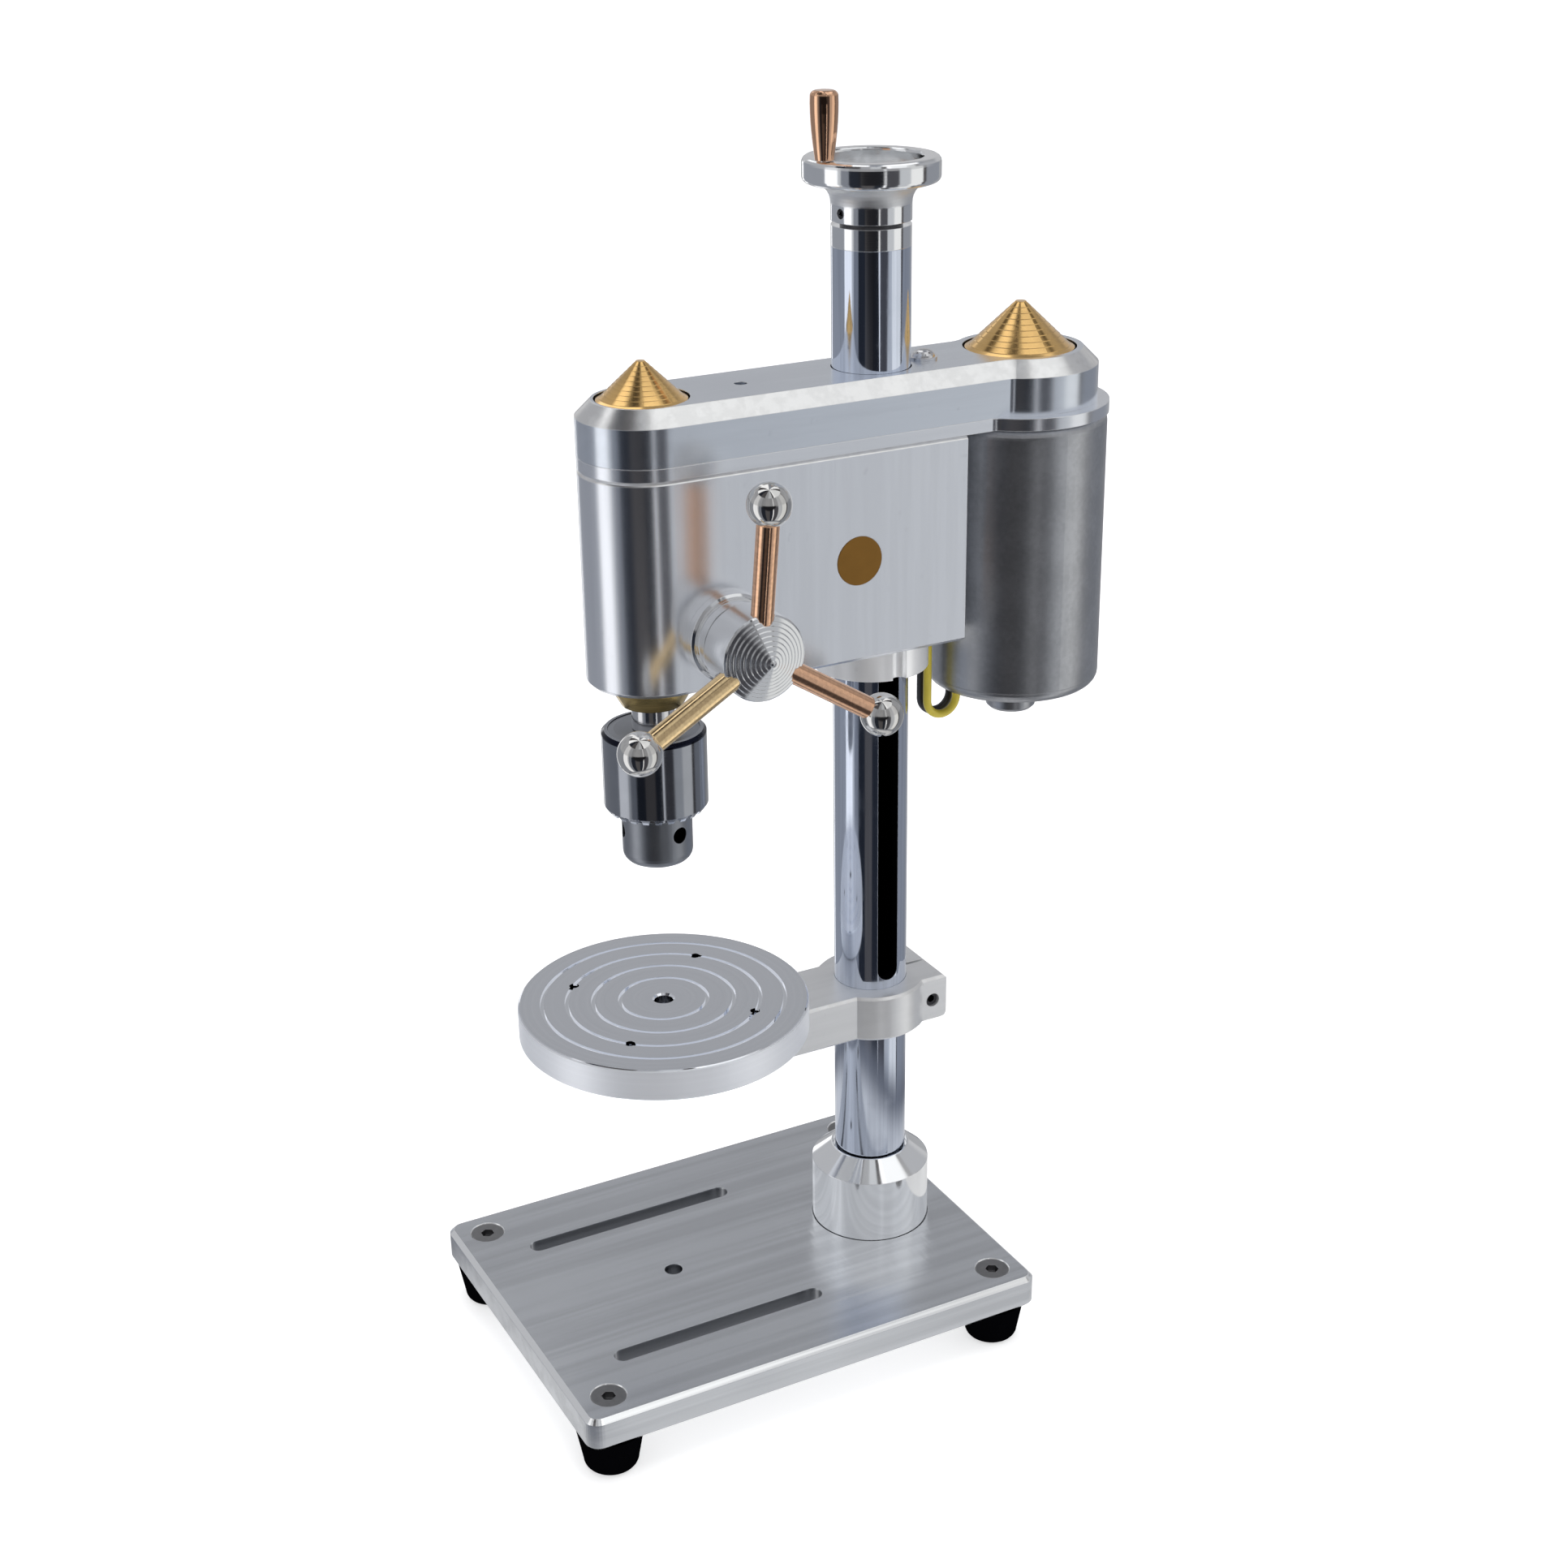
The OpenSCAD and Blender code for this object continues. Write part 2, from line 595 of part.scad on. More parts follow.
// A layer with a round front, straight sides and a wider round rear, whose sides are drawn in by
// in_low at its foot and by in_high at its top
module waisted(rear_r, z, h, in_low, in_high) translate([0, 0, z]) {
  half = head_w/2;
  blend_x = half + waist_blend_r;
  blend_y = motor_offset - blend_back(rear_r);
  translate([0, -throat, 0])
    cylinder(r1 = half + round_proud - in_low, r2 = half + round_proud - in_high, h = h);
  translate([0, motor_offset, 0]) cylinder(r1 = rear_r - in_low, r2 = rear_r - in_high, h = h);
  translate([0, motor_offset, 0]) rotate([90, 0, 0]) linear_extrude(motor_offset + throat)
    polygon([[-half + in_low, 0], [half - in_low, 0], [half - in_high, h], [-half + in_high, h]]);
  for (side = [-1, 1]) difference() {
    linear_extrude(h) polygon([[0, blend_y], [side*blend_x, blend_y], [0, motor_offset]]);
    translate([side*blend_x, blend_y, 0]) cylinder(r1 = waist_blend_r + round_proud + in_low,
      r2 = waist_blend_r + round_proud + in_high, h = h);
  }
}

cover_screw_d = head_side_wall/2;
cover_screw_y = [-throat*0.58, column_d/2 + head_back_wall*0.6];
cover_screw_grip = head_h*0.1;
cover_screw_head_d = cover_screw_d*1.9;
cover_screw_head_h = cover_screw_d*0.6;
cover_screw_foot = head_top - cover_screw_grip + part_gap;
motor_bolt_r = motor_d*0.33;
motor_bolt_d = motor_shaft_d*0.65;
pilot_d = motor_shaft_d*2.4;

module belt_plate() color("gainsboro") at_column() difference() {
  waisted(flange_r, head_top, plate_t, 0, 0);
  hole(column_d + 2*part_gap, head_top, plate_t);
  translate([0, -throat, 0]) hole(top_bearing_d*0.92, head_top, plate_t);
  translate([0, motor_offset, 0]) {
    hole(pilot_d + 2*fixed_gap, head_top, plate_t);
    for (a = [45:90:315]) rotate([0, 0, a]) translate([motor_bolt_r, 0, 0])
      hole(motor_bolt_d + 2*fixed_gap, head_top, plate_t);
  }
  for (y = cover_screw_y) translate([0, y, 0]) hole(cover_screw_d + 2*fixed_gap, head_top, plate_t);
}

front_hole_d = front_cone_d*1.045;
rear_hole_d = rear_cone_d*1.04;
cover_band = cover_h - cover_edge;
cavity_h = cover_h - 0.98*cover_edge;
post_d = cover_screw_d*2;

module belt_cover() color("silver") at_column() difference() {
  union() {
    difference() {
      union() {
        waisted(cover_rear_r, plate_top, cover_band, 0, 0);
        waisted(cover_rear_r, plate_top + cover_band, cover_edge, 0, cover_edge);
      }
      waisted(cover_rear_r, plate_top - overrun, cavity_h + overrun, cover_wall, cover_wall);
    }
    for (y = cover_screw_y) translate([0, y, 0]) post(post_d, plate_top, cavity_h + cover_edge/2);
  }
  hole(column_d + 2*part_gap, plate_top, cover_h);
  translate([0, -throat, 0]) hole(front_hole_d, plate_top, cover_h);
  translate([0, motor_offset, 0]) hole(rear_hole_d, plate_top, cover_h);
  for (y = cover_screw_y) translate([0, y, 0]) hole(cover_screw_d + 2*fixed_gap, plate_top, cover_h);
}

// Half the outline of a low dome
function dome(r, h, n) = [for (i = [0:n]) [r*cos(90*i/n), h*sin(90*i/n)]];

// The front screw is sunk in its hole, the rear one has a domed head on a washer
module cover_screws() color("dimgray") at_column() {
  translate([0, cover_screw_y[0], 0]) difference() {
    post(cover_screw_d, cover_screw_foot, cover_top - cover_screw_d*0.4 - cover_screw_foot);
    translate([0, 0, cover_top - cover_screw_d]) cylinder(d = cover_screw_d*0.55, h = cover_screw_d, $fn = 6);
  }
  translate([0, cover_screw_y[1], 0]) {
    post(cover_screw_d, cover_screw_foot, cover_top - cover_screw_foot);
    post(cover_screw_head_d*1.2, cover_top, cover_screw_head_h*0.3);
    translate([0, 0, cover_top + cover_screw_head_h*0.3]) rotate_extrude()
      polygon(concat([[0, 0]], dome(cover_screw_head_d/2, cover_screw_head_h, 6)));
  }
}

// Belt drive

// Both pulleys carry the belt just clear of the column between them
belt_r = column_d/2 + belt_gap;
pulley_rim_r = belt_r + belt_t*1.1;
pulley_rim_h = belt_t*0.8;
pulley_z = plate_top + 2*part_gap;
pulley_h = belt_w + 2*part_gap + 2*pulley_rim_h;
belt_z = pulley_z + pulley_rim_h + part_gap;
pulley_neck_share = 0.6;
cone_sink = cover_edge*0.2;
front_cone_h = front_cone_d*0.43;
rear_cone_h = rear_cone_d*0.43;

module stadium(r) hull() for (y = [-throat, motor_offset]) translate([0, y]) circle(r = r, $fn = 64);

module drive_belt() color("black") at_column() translate([0, 0, belt_z]) linear_extrude(belt_w)
  difference() {
    stadium(belt_r + part_gap + belt_t);
    stadium(belt_r + part_gap);
  }

// A flanged flat pulley with a neck that carries a cone; neck_top is the cone's seat
module pulley(bore, neck_top) translate([0, 0, pulley_z]) rotate_extrude() polygon([
  [bore/2, 0], [pulley_rim_r, 0], [pulley_rim_r, pulley_rim_h], [belt_r, pulley_rim_h],
  [belt_r, pulley_h - pulley_rim_h], [pulley_rim_r, pulley_h - pulley_rim_h], [pulley_rim_r, pulley_h],
  [belt_r*pulley_neck_share, pulley_h], [belt_r*pulley_neck_share, neck_top - pulley_z],
  [bore/2, neck_top - pulley_z]]);

// A turned cone with fine rings, standing on z over a blind bore
cone_rings = 10;
cone_groove_share = 0.018;
cone_tip_share = 0.05;
module ringed_cone(d, z, h, bore, depth) {
  tip = d*cone_tip_share;
  ring = (d/2 - tip)/cone_rings;
  rise = h/cone_rings;
  cut = d*cone_groove_share;
  translate([0, 0, z]) rotate_extrude() polygon(concat([[bore/2, 0], [d/2, 0], [d/2, rise*0.4]],
    [for (i = [1:cone_rings], k = [0, 1]) [d/2 - ring*i + (k == 0 ? ring*0.25 - cut/2 : 0),
      rise*(i - 0.15 + 0.15*k)]],
    [[0, h], [0, depth], [bore/2, depth]]));
}

// Spline of the spindle's upper end; grow widens it for the sleeve that drives it
spline_d = spindle_d*0.86;
module spline(grow, z, h) translate([0, 0, z]) linear_extrude(h) {
  circle(d = spline_d*0.82 + 2*grow);
  for (a = [0, 90]) rotate([0, 0, a])
    square([spline_d + 2*grow, spline_d*0.3 + 2*grow], center = true);
}

sleeve_drive_d = top_bearing_d*0.58;
sleeve_drive_low = head_top - top_bearing_h;
spindle_top = sleeve_drive_low + quill_stroke + spline_d*0.75;

module pulley_bearings() color("silver") at_spindle() for (z = [sleeve_drive_low, head_top - top_bearing_h/2])
  bearing(top_bearing_d, sleeve_drive_d + 2*fixed_gap, z, top_bearing_h/2 - part_gap);

module spindle_pulley() color("gainsboro") at_spindle() difference() {
  union() {
    pulley(0, cover_top - cone_sink);
    post(sleeve_drive_d, sleeve_drive_low, pulley_z + pulley_rim_h - sleeve_drive_low);
    post(sleeve_drive_d*1.2, head_top + running_gap, pulley_z + pulley_rim_h - head_top);
  }
  spline(running_gap, sleeve_drive_low - overrun, cover_top - sleeve_drive_low + overrun);
}

module front_cone() color("goldenrod") at_spindle()
  ringed_cone(front_cone_d, cover_top - cone_sink, front_cone_h, spline_d + 4*part_gap, front_cone_h*0.45);

// Motor, hung under the belt plate

can_z = head_top - motor_l;
can_round = motor_d*0.055;
can_floor_t = can_wall*1.4;
cap_h = motor_l*0.12;
rear_boss_d = motor_shaft_d*2.8;
rear_boss_h = motor_l*0.163;
cap_rim_h = motor_l*0.045;
motor_bearing_d = pilot_d*0.8;
motor_bearing_h = motor_shaft_d*0.85;
armature_d = motor_d*0.68;
armature_l = motor_l*0.5;
armature_z = can_z + motor_l*0.3;
commutator_d = motor_d*0.34;
commutator_h = motor_l*0.12;
commutator_z = can_z + cap_h + part_gap;
shaft_top = cover_top - cone_sink + rear_cone_h*0.4;

// Places of the two motor bearings, and the radii of their seats
front_bearing_z = head_top - motor_bearing_h*1.3;
rear_bearing_z = can_z + cap_h - can_wall - motor_bearing_h;
bearing_seat_r = motor_bearing_d/2 + fixed_gap;
bearing_lip_r = motor_bearing_d*0.4;
can_in_r = motor_d/2 - can_wall;
can_bolt_d = motor_bolt_d*0.8;

// A drawn cup, closed towards the belt plate, with a pilot that centres it there
module motor_can() color("dimgray") at_motor() difference() {
  translate([0, 0, can_z]) rotate_extrude() polygon(concat([[can_in_r, 0], [motor_d/2, 0]],
    arc(motor_d/2 - can_round, motor_l - can_round, can_round, 0, 90, 6), [
    [pilot_d/2, motor_l], [pilot_d/2, motor_l + plate_t*0.6],
    [bearing_lip_r, motor_l + plate_t*0.6], [bearing_lip_r, motor_l - motor_bearing_h*0.3],
    [bearing_seat_r, motor_l - motor_bearing_h*0.3], [bearing_seat_r, motor_l - motor_bearing_h*1.3],
    [pilot_d/2, motor_l - motor_bearing_h*1.3], [pilot_d/2, motor_l - can_floor_t],
    [can_in_r, motor_l - can_floor_t]]));
  for (a = [45:90:315]) rotate([0, 0, a]) translate([motor_bolt_r, 0, 0])
    hole(can_bolt_d + 2*fixed_gap, head_top - can_floor_t, can_floor_t);
}

module motor_screws() color("dimgray") at_motor() for (a = [45:90:315]) rotate([0, 0, a])
  translate([motor_bolt_r, 0, 0]) difference() {
    union() {
      post(can_bolt_d, head_top - can_floor_t*1.5, can_floor_t*1.5 + plate_t);
      post(motor_bolt_d*1.5, plate_top, part_gap*1.5);
    }
    translate([0, 0, plate_top - plate_t*0.4]) cylinder(d = motor_bolt_d*0.6, h = plate_t, $fn = 6);
  }

// The end cap has a rounded rim and a long boss round the shaft's bearing
module motor_end_cap() color("darkslategray") at_motor() difference() {
  translate([0, 0, can_z]) rotate_extrude() polygon(concat(
    [[motor_shaft_d/2 + part_gap, -rear_boss_h], [rear_boss_d/2 - can_wall/2, -rear_boss_h],
    [rear_boss_d/2, -rear_boss_h + can_wall/2], [rear_boss_d/2, -cap_rim_h]],
    arc(motor_d/2 - cap_rim_h, 0, cap_rim_h, -90, 0, 6),
    [[can_in_r - fixed_gap, 0], [can_in_r - fixed_gap, cap_h - can_wall],
    [bearing_seat_r, cap_h - can_wall], [bearing_seat_r, cap_h - can_wall - motor_bearing_h],
    [motor_shaft_d/2 + part_gap, cap_h - can_wall - motor_bearing_h]]));
  for (x = wire_x) translate([x, -terminal_r, 0])
    hole(wire_d + 2*fixed_gap, can_z - cap_rim_h, cap_rim_h + cap_h);
}

module field_magnets() color("gray") at_motor() difference() {
  ring_solid(2*(can_in_r - fixed_gap), armature_d + 4*part_gap, armature_z, armature_l);
  translate([-motor_d/2, -motor_d*0.14, armature_z - overrun])
    cube([motor_d, motor_d*0.28, armature_l + 2*overrun]);
}

brush_w = commutator_h*0.6;
brush_l = brush_w*1.3;
module carbon_brushes() color("dimgray") at_motor() for (turn = [0, 180]) rotate([0, 0, turn])
  translate([commutator_d/2 + part_gap, -brush_w/2, can_z + cap_h - can_wall])
    cube([brush_l, brush_w, commutator_h*0.8]);

module motor_bearings() color("silver") at_motor() for (z = [front_bearing_z, rear_bearing_z])
  bearing(motor_bearing_d, motor_shaft_d + 2*fixed_gap, z, motor_bearing_h);

module motor_rotor() color("slategray") at_motor() {
  post(motor_shaft_d, can_z - rear_boss_h*0.5, shaft_top - can_z + rear_boss_h*0.5);
  difference() {
    post(armature_d, armature_z, armature_l);
    for (a = [0:72:288]) rotate([0, 0, a])
      translate([armature_d*0.25, -armature_d*0.05, armature_z - overrun])
        cube([armature_d/2, armature_d*0.1, armature_l + 2*overrun]);
  }
  post(commutator_d, commutator_z, commutator_h);
  post(motor_shaft_d*1.5, commutator_z, armature_z - commutator_z + overrun);
}

module motor_pulley() color("gainsboro") at_motor()
  pulley(motor_shaft_d + 2*fixed_gap, cover_top - cone_sink);

module rear_cone() color("goldenrod") at_motor()
  ringed_cone(rear_cone_d, cover_top - cone_sink, rear_cone_h, motor_shaft_d + 2*fixed_gap,
    rear_cone_h*0.5);

// Two wires hang in a bend from the head's underside to the motor's end cap

wire_x = [-wire_d*0.75, wire_d*0.75];
wire_y = column_d/2 + head_back_wall*0.74;
terminal_r = motor_d*0.4;
wire_sink = head_h*0.09;
wire_bend_r = (motor_offset - terminal_r - wire_y)/2;
wire_low = can_z - cap_rim_h - wire_d*0.7;

module power_wire(x) at_column() translate([x, wire_y + wire_bend_r, wire_low]) {
  rotate([0, 90, 0]) rotate([0, 0, -90]) rotate_extrude(angle = 180) translate([wire_bend_r, 0])
    circle(d = wire_d);
  translate([0, -wire_bend_r, 0]) cylinder(d = wire_d, h = head_z + wire_sink*0.8 - wire_low);
  translate([0, wire_bend_r, 0]) cylinder(d = wire_d, h = can_z + cap_h*0.6 - wire_low);
}

module yellow_wire() color("gold") power_wire(wire_x[1]);

module black_wire() color("black") power_wire(wire_x[0]);

// Quill and spindle

quill_low = head_z - part_gap;
quill_high = sleeve_drive_low - part_gap;
nose_low = quill_low - quill_nose_h;
nose_spigot_h = quill_nose_h*0.35;
quill_bearing_d = quill_d*0.75;
quill_bearing_h = quill_bearing_d*0.4;
low_bearing_z = quill_low + nose_spigot_h;
high_bearing_z = quill_high - quill_bearing_h;
rack_grooves = ceil(quill_stroke/tooth_pitch) + 2;
rack_tan = tan(pressure_angle);

// One groove of the rack: it opens towards the pinion from the pitch line, a little wider than a tooth
module rack_groove() {
  deep = dedendum;
  out = addendum + overrun;
  mid = tooth_pitch/4 + backlash/2;
  rotate([0, -90, 0]) linear_extrude(pinion_w + 4*part_gap, center = true) polygon([
    [-mid + deep*rack_tan, -deep], [mid - deep*rack_tan, -deep],
    [mid + out*rack_tan, out], [-mid - out*rack_tan, out]]);
}

module quill() color("silver") at_spindle() difference() {
  post(quill_d, quill_low, quill_high - quill_low);
  hole(quill_bearing_d*0.8, quill_low, quill_high - quill_low);
  post(quill_bearing_d + 2*fixed_gap, quill_low - overrun, nose_spigot_h + quill_bearing_h + overrun);
  post(quill_bearing_d + 2*fixed_gap, high_bearing_z, quill_bearing_h + overrun);
  for (i = [-2:rack_grooves - 1]) translate([0, quill_d/2 - addendum, pinion_z + i*tooth_pitch])
    rack_groove();
}

module quill_bearings() color("silver") at_spindle() for (z = [low_bearing_z, high_bearing_z])
  bearing(quill_bearing_d, spindle_d + 2*fixed_gap, z, quill_bearing_h);

nose_wide_share = 1.14;
nose_narrow_share = 0.834;
module quill_nose() color("goldenrod") at_spindle() translate([0, 0, nose_low]) rotate_extrude() polygon([
  [spindle_collar_d/2 + part_gap, 0], [quill_d/2*nose_narrow_share, 0],
  [quill_d/2*nose_wide_share, quill_nose_h*0.82], [quill_d/2*nose_wide_share, quill_nose_h],
  [quill_bearing_d/2, quill_nose_h], [quill_bearing_d/2, quill_nose_h + nose_spigot_h],
  [spindle_collar_d/2 + part_gap, quill_nose_h + nose_spigot_h]]);

chuck_top = nose_low - spindle_show;
taper_d = spindle_collar_d*0.88;
taper_l = sleeve_h*0.62;
taper_share = 0.05;

module spindle() color("silver") at_spindle() {
  translate([0, 0, chuck_top - taper_l])
    cylinder(d1 = taper_d - taper_l*taper_share, d2 = taper_d, h = taper_l);
  post(spindle_collar_d, chuck_top + part_gap, low_bearing_z - chuck_top - part_gap - running_gap);
  post(taper_d*0.98, chuck_top - taper_l*0.1, low_bearing_z - chuck_top);
  post(spindle_d, low_bearing_z - running_gap*2, quill_high - low_bearing_z);
  spline(0, high_bearing_z, spindle_top - high_bearing_z);
}

// Chuck

chuck_low = chuck_top - sleeve_h - chuck_nose_h;
sleeve_wall = sleeve_d*0.06;
sleeve_bore_d = sleeve_d - 2*sleeve_wall;
jaw_tilt = 14;
jaw_foot_r = jaw_d*0.29;
jaw_closed_r = jaw_d*0.06;
jaw_show = jaw_d*0.38;
jaw_h = sleeve_h*0.88;
jaw_rest_share = 0.5;
jaw_spread = chuck_mouth_d/2 - jaw_closed_r;
jaw_rise = jaw_spread/tan(jaw_tilt);
nut_z = chuck_low + chuck_nose_h + part_gap;
chuck_nut_h = sleeve_h*0.15;
nut_groove_r = jaw_foot_r + (nut_z - chuck_low)*tan(jaw_tilt) + jaw_d*0.43;
key_hole_z = chuck_low + chuck_nose_h*0.62;
key_hole_angle = 15.8;
chuck_round = chuck_nose_d*0.16;
tooth_count = 24;
tooth_cut_w = sleeve_d*0.062;
tooth_cut_h = sleeve_d*0.066;

// Lies along the tilted line of a jaw, which leaves the chuck's axis upwards
module on_jaw_line() {
  translate([jaw_foot_r, 0, chuck_low]) rotate([0, jaw_tilt, 0]) children();
}

module chuck_body() color("dimgray") at_spindle() difference() {
  translate([0, 0, chuck_low]) rotate_extrude() polygon(concat([[0, 0]],
    arc(chuck_nose_d/2 - chuck_round, chuck_round, chuck_round, -90, 0, 5),
    [[chuck_nose_d/2, chuck_nose_h], [nut_groove_r, chuck_nose_h],
    [nut_groove_r, chuck_nose_h + chuck_nut_h + 2*part_gap],
    [sleeve_bore_d/2 - running_gap, chuck_nose_h + chuck_nut_h + 2*part_gap],
    [sleeve_bore_d/2 - running_gap, chuck_nose_h + sleeve_h - part_gap],
    [sleeve_bore_d/2 - sleeve_wall, chuck_nose_h + sleeve_h], [0, chuck_nose_h + sleeve_h]]));
  translate([0, 0, chuck_top - taper_l - part_gap]) cylinder(h = taper_l + part_gap,
    d1 = taper_d - taper_l*taper_share + 2*fixed_gap, d2 = taper_d + 2*fixed_gap);
  post(taper_d + 2*fixed_gap, chuck_top - fixed_gap, overrun);
  post(chuck_mouth_d*1.15, chuck_low - overrun, jaw_h + overrun);
  for (a = [60, 180, 300]) rotate([0, 0, key_hole_angle + a]) on_jaw_line()
    translate([0, 0, -jaw_h]) cylinder(d = jaw_d + 2*running_gap, h = 2*jaw_h + jaw_rise);
  for (a = [0, 120, 240]) rotate([0, 0, key_hole_angle + a]) translate([chuck_nose_d*0.35, 0, key_hole_z])
    rotate([0, 90, 0]) cylinder(d = key_hole_d, h = chuck_nose_d);
}

// The key's teeth are cut into the lower edge, at the corners between the sleeve's narrow flats
module chuck_sleeve() color("gray") at_spindle() translate([0, 0, chuck_low + chuck_nose_h]) difference() {
  rotate_extrude($fn = tooth_count) polygon([
    [0, 0], [sleeve_d/2 - sleeve_wall*0.7, 0], [sleeve_d/2, sleeve_wall],
    [sleeve_d/2, sleeve_h - sleeve_wall/2], [sleeve_d/2 - sleeve_wall/2, sleeve_h], [0, sleeve_h]]);
  hole(sleeve_bore_d, 0, sleeve_h);
  for (i = [0:tooth_count - 1]) rotate([0, 0, i*360/tooth_count])
    translate([sleeve_bore_d/2 - sleeve_wall, 0, 0]) rotate([90, 0, 90]) linear_extrude(3*sleeve_wall)
      polygon(concat([[-tooth_cut_w/2, -overrun], [tooth_cut_w/2, -overrun]],
        arc(0, tooth_cut_h - tooth_cut_w/2, tooth_cut_w/2, 0, 180, 4)));
}

module jaw_nut() color("slategray") at_spindle() difference() {
  post(sleeve_bore_d - 2*fixed_gap, nut_z, chuck_nut_h);
  translate([0, 0, nut_z - overrun]) cylinder(
    r1 = nut_groove_r + jaw_d*0.12 - overrun*tan(jaw_tilt) + part_gap,
    r2 = nut_groove_r + jaw_d*0.12 + (chuck_nut_h + overrun)*tan(jaw_tilt) + part_gap,
    h = chuck_nut_h + 2*overrun);
}

// A round jaw with a wedge-shaped grip, shown part open
module jaw(a) color("silver") at_spindle() rotate([0, 0, key_hole_angle + a])
  translate([jaw_spread*jaw_rest_share, 0, jaw_rise*jaw_rest_share]) intersection() {
    on_jaw_line() translate([0, 0, -sleeve_h]) cylinder(d = jaw_d, h = 3*sleeve_h);
    translate([jaw_closed_r, 0, chuck_low - jaw_show]) linear_extrude(jaw_h)
      polygon([[0, -jaw_closed_r/2], [sleeve_d/2, -sleeve_d/2*sqrt(2)], [sleeve_d/2, sleeve_d/2*sqrt(2)],
        [0, jaw_closed_r/2]]);
  }

module jaw_one() jaw(60);

module jaw_two() jaw(180);

module jaw_three() jaw(300);

// Feed

base_r = pitch_r*cos(pressure_angle);
tip_r = pitch_r + addendum;
root_r = pitch_r - dedendum;
flank_points = 6;
roll_max = sqrt(pow(tip_r/base_r, 2) - 1)*180/PI;
pitch_roll = tan(pressure_angle)*180/PI;
half_tooth = 90/teeth - backlash/4/pitch_r*180/PI + pitch_roll - pressure_angle;

// Point of an involute flank at roll angle t, mirrored for the other flank with side -1
function involute(t, side) = let (
  r = base_r*sqrt(1 + pow(t*PI/180, 2)),
  a = half_tooth - (t - atan(t*PI/180)))
  [r*cos(a), side*r*sin(a)];

module gear_tooth() polygon(concat(
  [[root_r*0.8, -root_r*sin(half_tooth)], [root_r, -root_r*sin(half_tooth)]],
  [for (i = [0:flank_points]) involute(roll_max*i/flank_points, -1)],
  [for (i = [flank_points:-1:0]) involute(roll_max*i/flank_points, 1)],
  [[root_r, root_r*sin(half_tooth)], [root_r*0.8, root_r*sin(half_tooth)]]));

flange_h = (hub_reach - hub_l)*0.42;
flange_gap = (hub_reach - hub_l)*0.06;
hub_face = head_w/2 + hub_reach;
hub_back = hub_face - hub_l;
shaft_far = head_w/2 + spring_cap_h*0.75;

module pinion_shaft() color("silver") at_feed() {
  difference() {
    translate([0, 0, -shaft_far]) cylinder(d = feed_shaft_d, h = shaft_far + hub_face - hub_l*0.2);
    translate([0, -spring_t/2 - fixed_gap, -shaft_far - overrun])
      cube([feed_shaft_d, spring_t + 2*fixed_gap, spring_cap_h*0.75 + overrun - part_gap]);
  }
  translate([0, 0, -pinion_w/2]) linear_extrude(pinion_w) for (i = [0:teeth - 1])
    rotate([0, 0, i*360/teeth]) gear_tooth();
}

module feed_flange() color("silver") at_feed() rotate_extrude() polygon([
  [feed_shaft_d/2 + running_gap, bush_inner], [bush_d/2, bush_inner], [bush_d/2, head_w/2],
  [feed_flange_d/2, head_w/2], [feed_flange_d/2, head_w/2 + flange_h*0.8],
  [feed_flange_d/2 - flange_h*0.2, head_w/2 + flange_h], [feed_flange_d*0.45, head_w/2 + flange_h],
  [feed_flange_d*0.45, hub_back - flange_gap], [feed_shaft_d/2 + running_gap, hub_back - flange_gap]]);

module far_bush() color("goldenrod") at_feed() mirror([0, 0, 1])
  ring_solid(bush_d, feed_shaft_d + 2*running_gap, bush_inner, head_w/2 - bush_inner);

cap_wall = spring_cap_d*0.06;
module spring_cap() color("silver") at_feed() mirror([0, 0, 1]) translate([0, 0, head_w/2])
  rotate_extrude() polygon([[0, spring_cap_h], [0, spring_cap_h - cap_wall],
    [spring_cap_d/2 - cap_wall, spring_cap_h - cap_wall], [spring_cap_d/2 - cap_wall, 0],
    [spring_cap_d/2, 0], [spring_cap_d/2, spring_cap_h - cap_wall/2],
    [spring_cap_d/2 - cap_wall/2, spring_cap_h]]);

spring_turns = 3;
spring_t = cap_wall*0.35;
spring_points = 20;
spring_start_r = feed_shaft_d/2 + 3*part_gap;
spring_end_r = spring_cap_d/2 - cap_wall - spring_t/2 - part_gap;
spring_lead = (spring_end_r - spring_start_r)/spring_turns;
spring_steps = spring_turns*spring_points;
function spiral(i, off) = let (r = spring_start_r + (spring_end_r - spring_start_r)*i/spring_steps + off,
  a = 360*i/spring_points) [r*cos(a), r*sin(a)];
echo(least_spring_gap = spring_lead - spring_t);

module return_spring() color("steelblue") at_feed() mirror([0, 0, 1])
  translate([0, 0, head_w/2 + spring_cap_h*0.15]) linear_extrude(spring_cap_h*0.5) polygon(concat(
    [[0, spring_t/2], [0, -spring_t/2]],
    [for (i = [0:spring_steps]) spiral(i, spring_t/2)],
    [for (i = [spring_steps:-1:0]) spiral(i, -spring_t/2)]));

hub_rings = 9;
rod_root_z = hub_face - hub_l*0.23;
rod_lean = arm_reach*0.078;
rod_l = sqrt(arm_reach*arm_reach + rod_lean*rod_lean);
rod_tilt = 90 - atan(rod_lean/arm_reach);
rod_angle = -2.45;
rod_seat = hub_d*0.27;
ball_seat = ball_d*0.3;

// Along each rod, from the hub's axis outwards
module on_rods() {
  for (a = [0, 120, 240]) rotate([0, 0, rod_angle + 180 + a]) translate([0, 0, rod_root_z])
    rotate([0, rod_tilt, 0]) children();
}

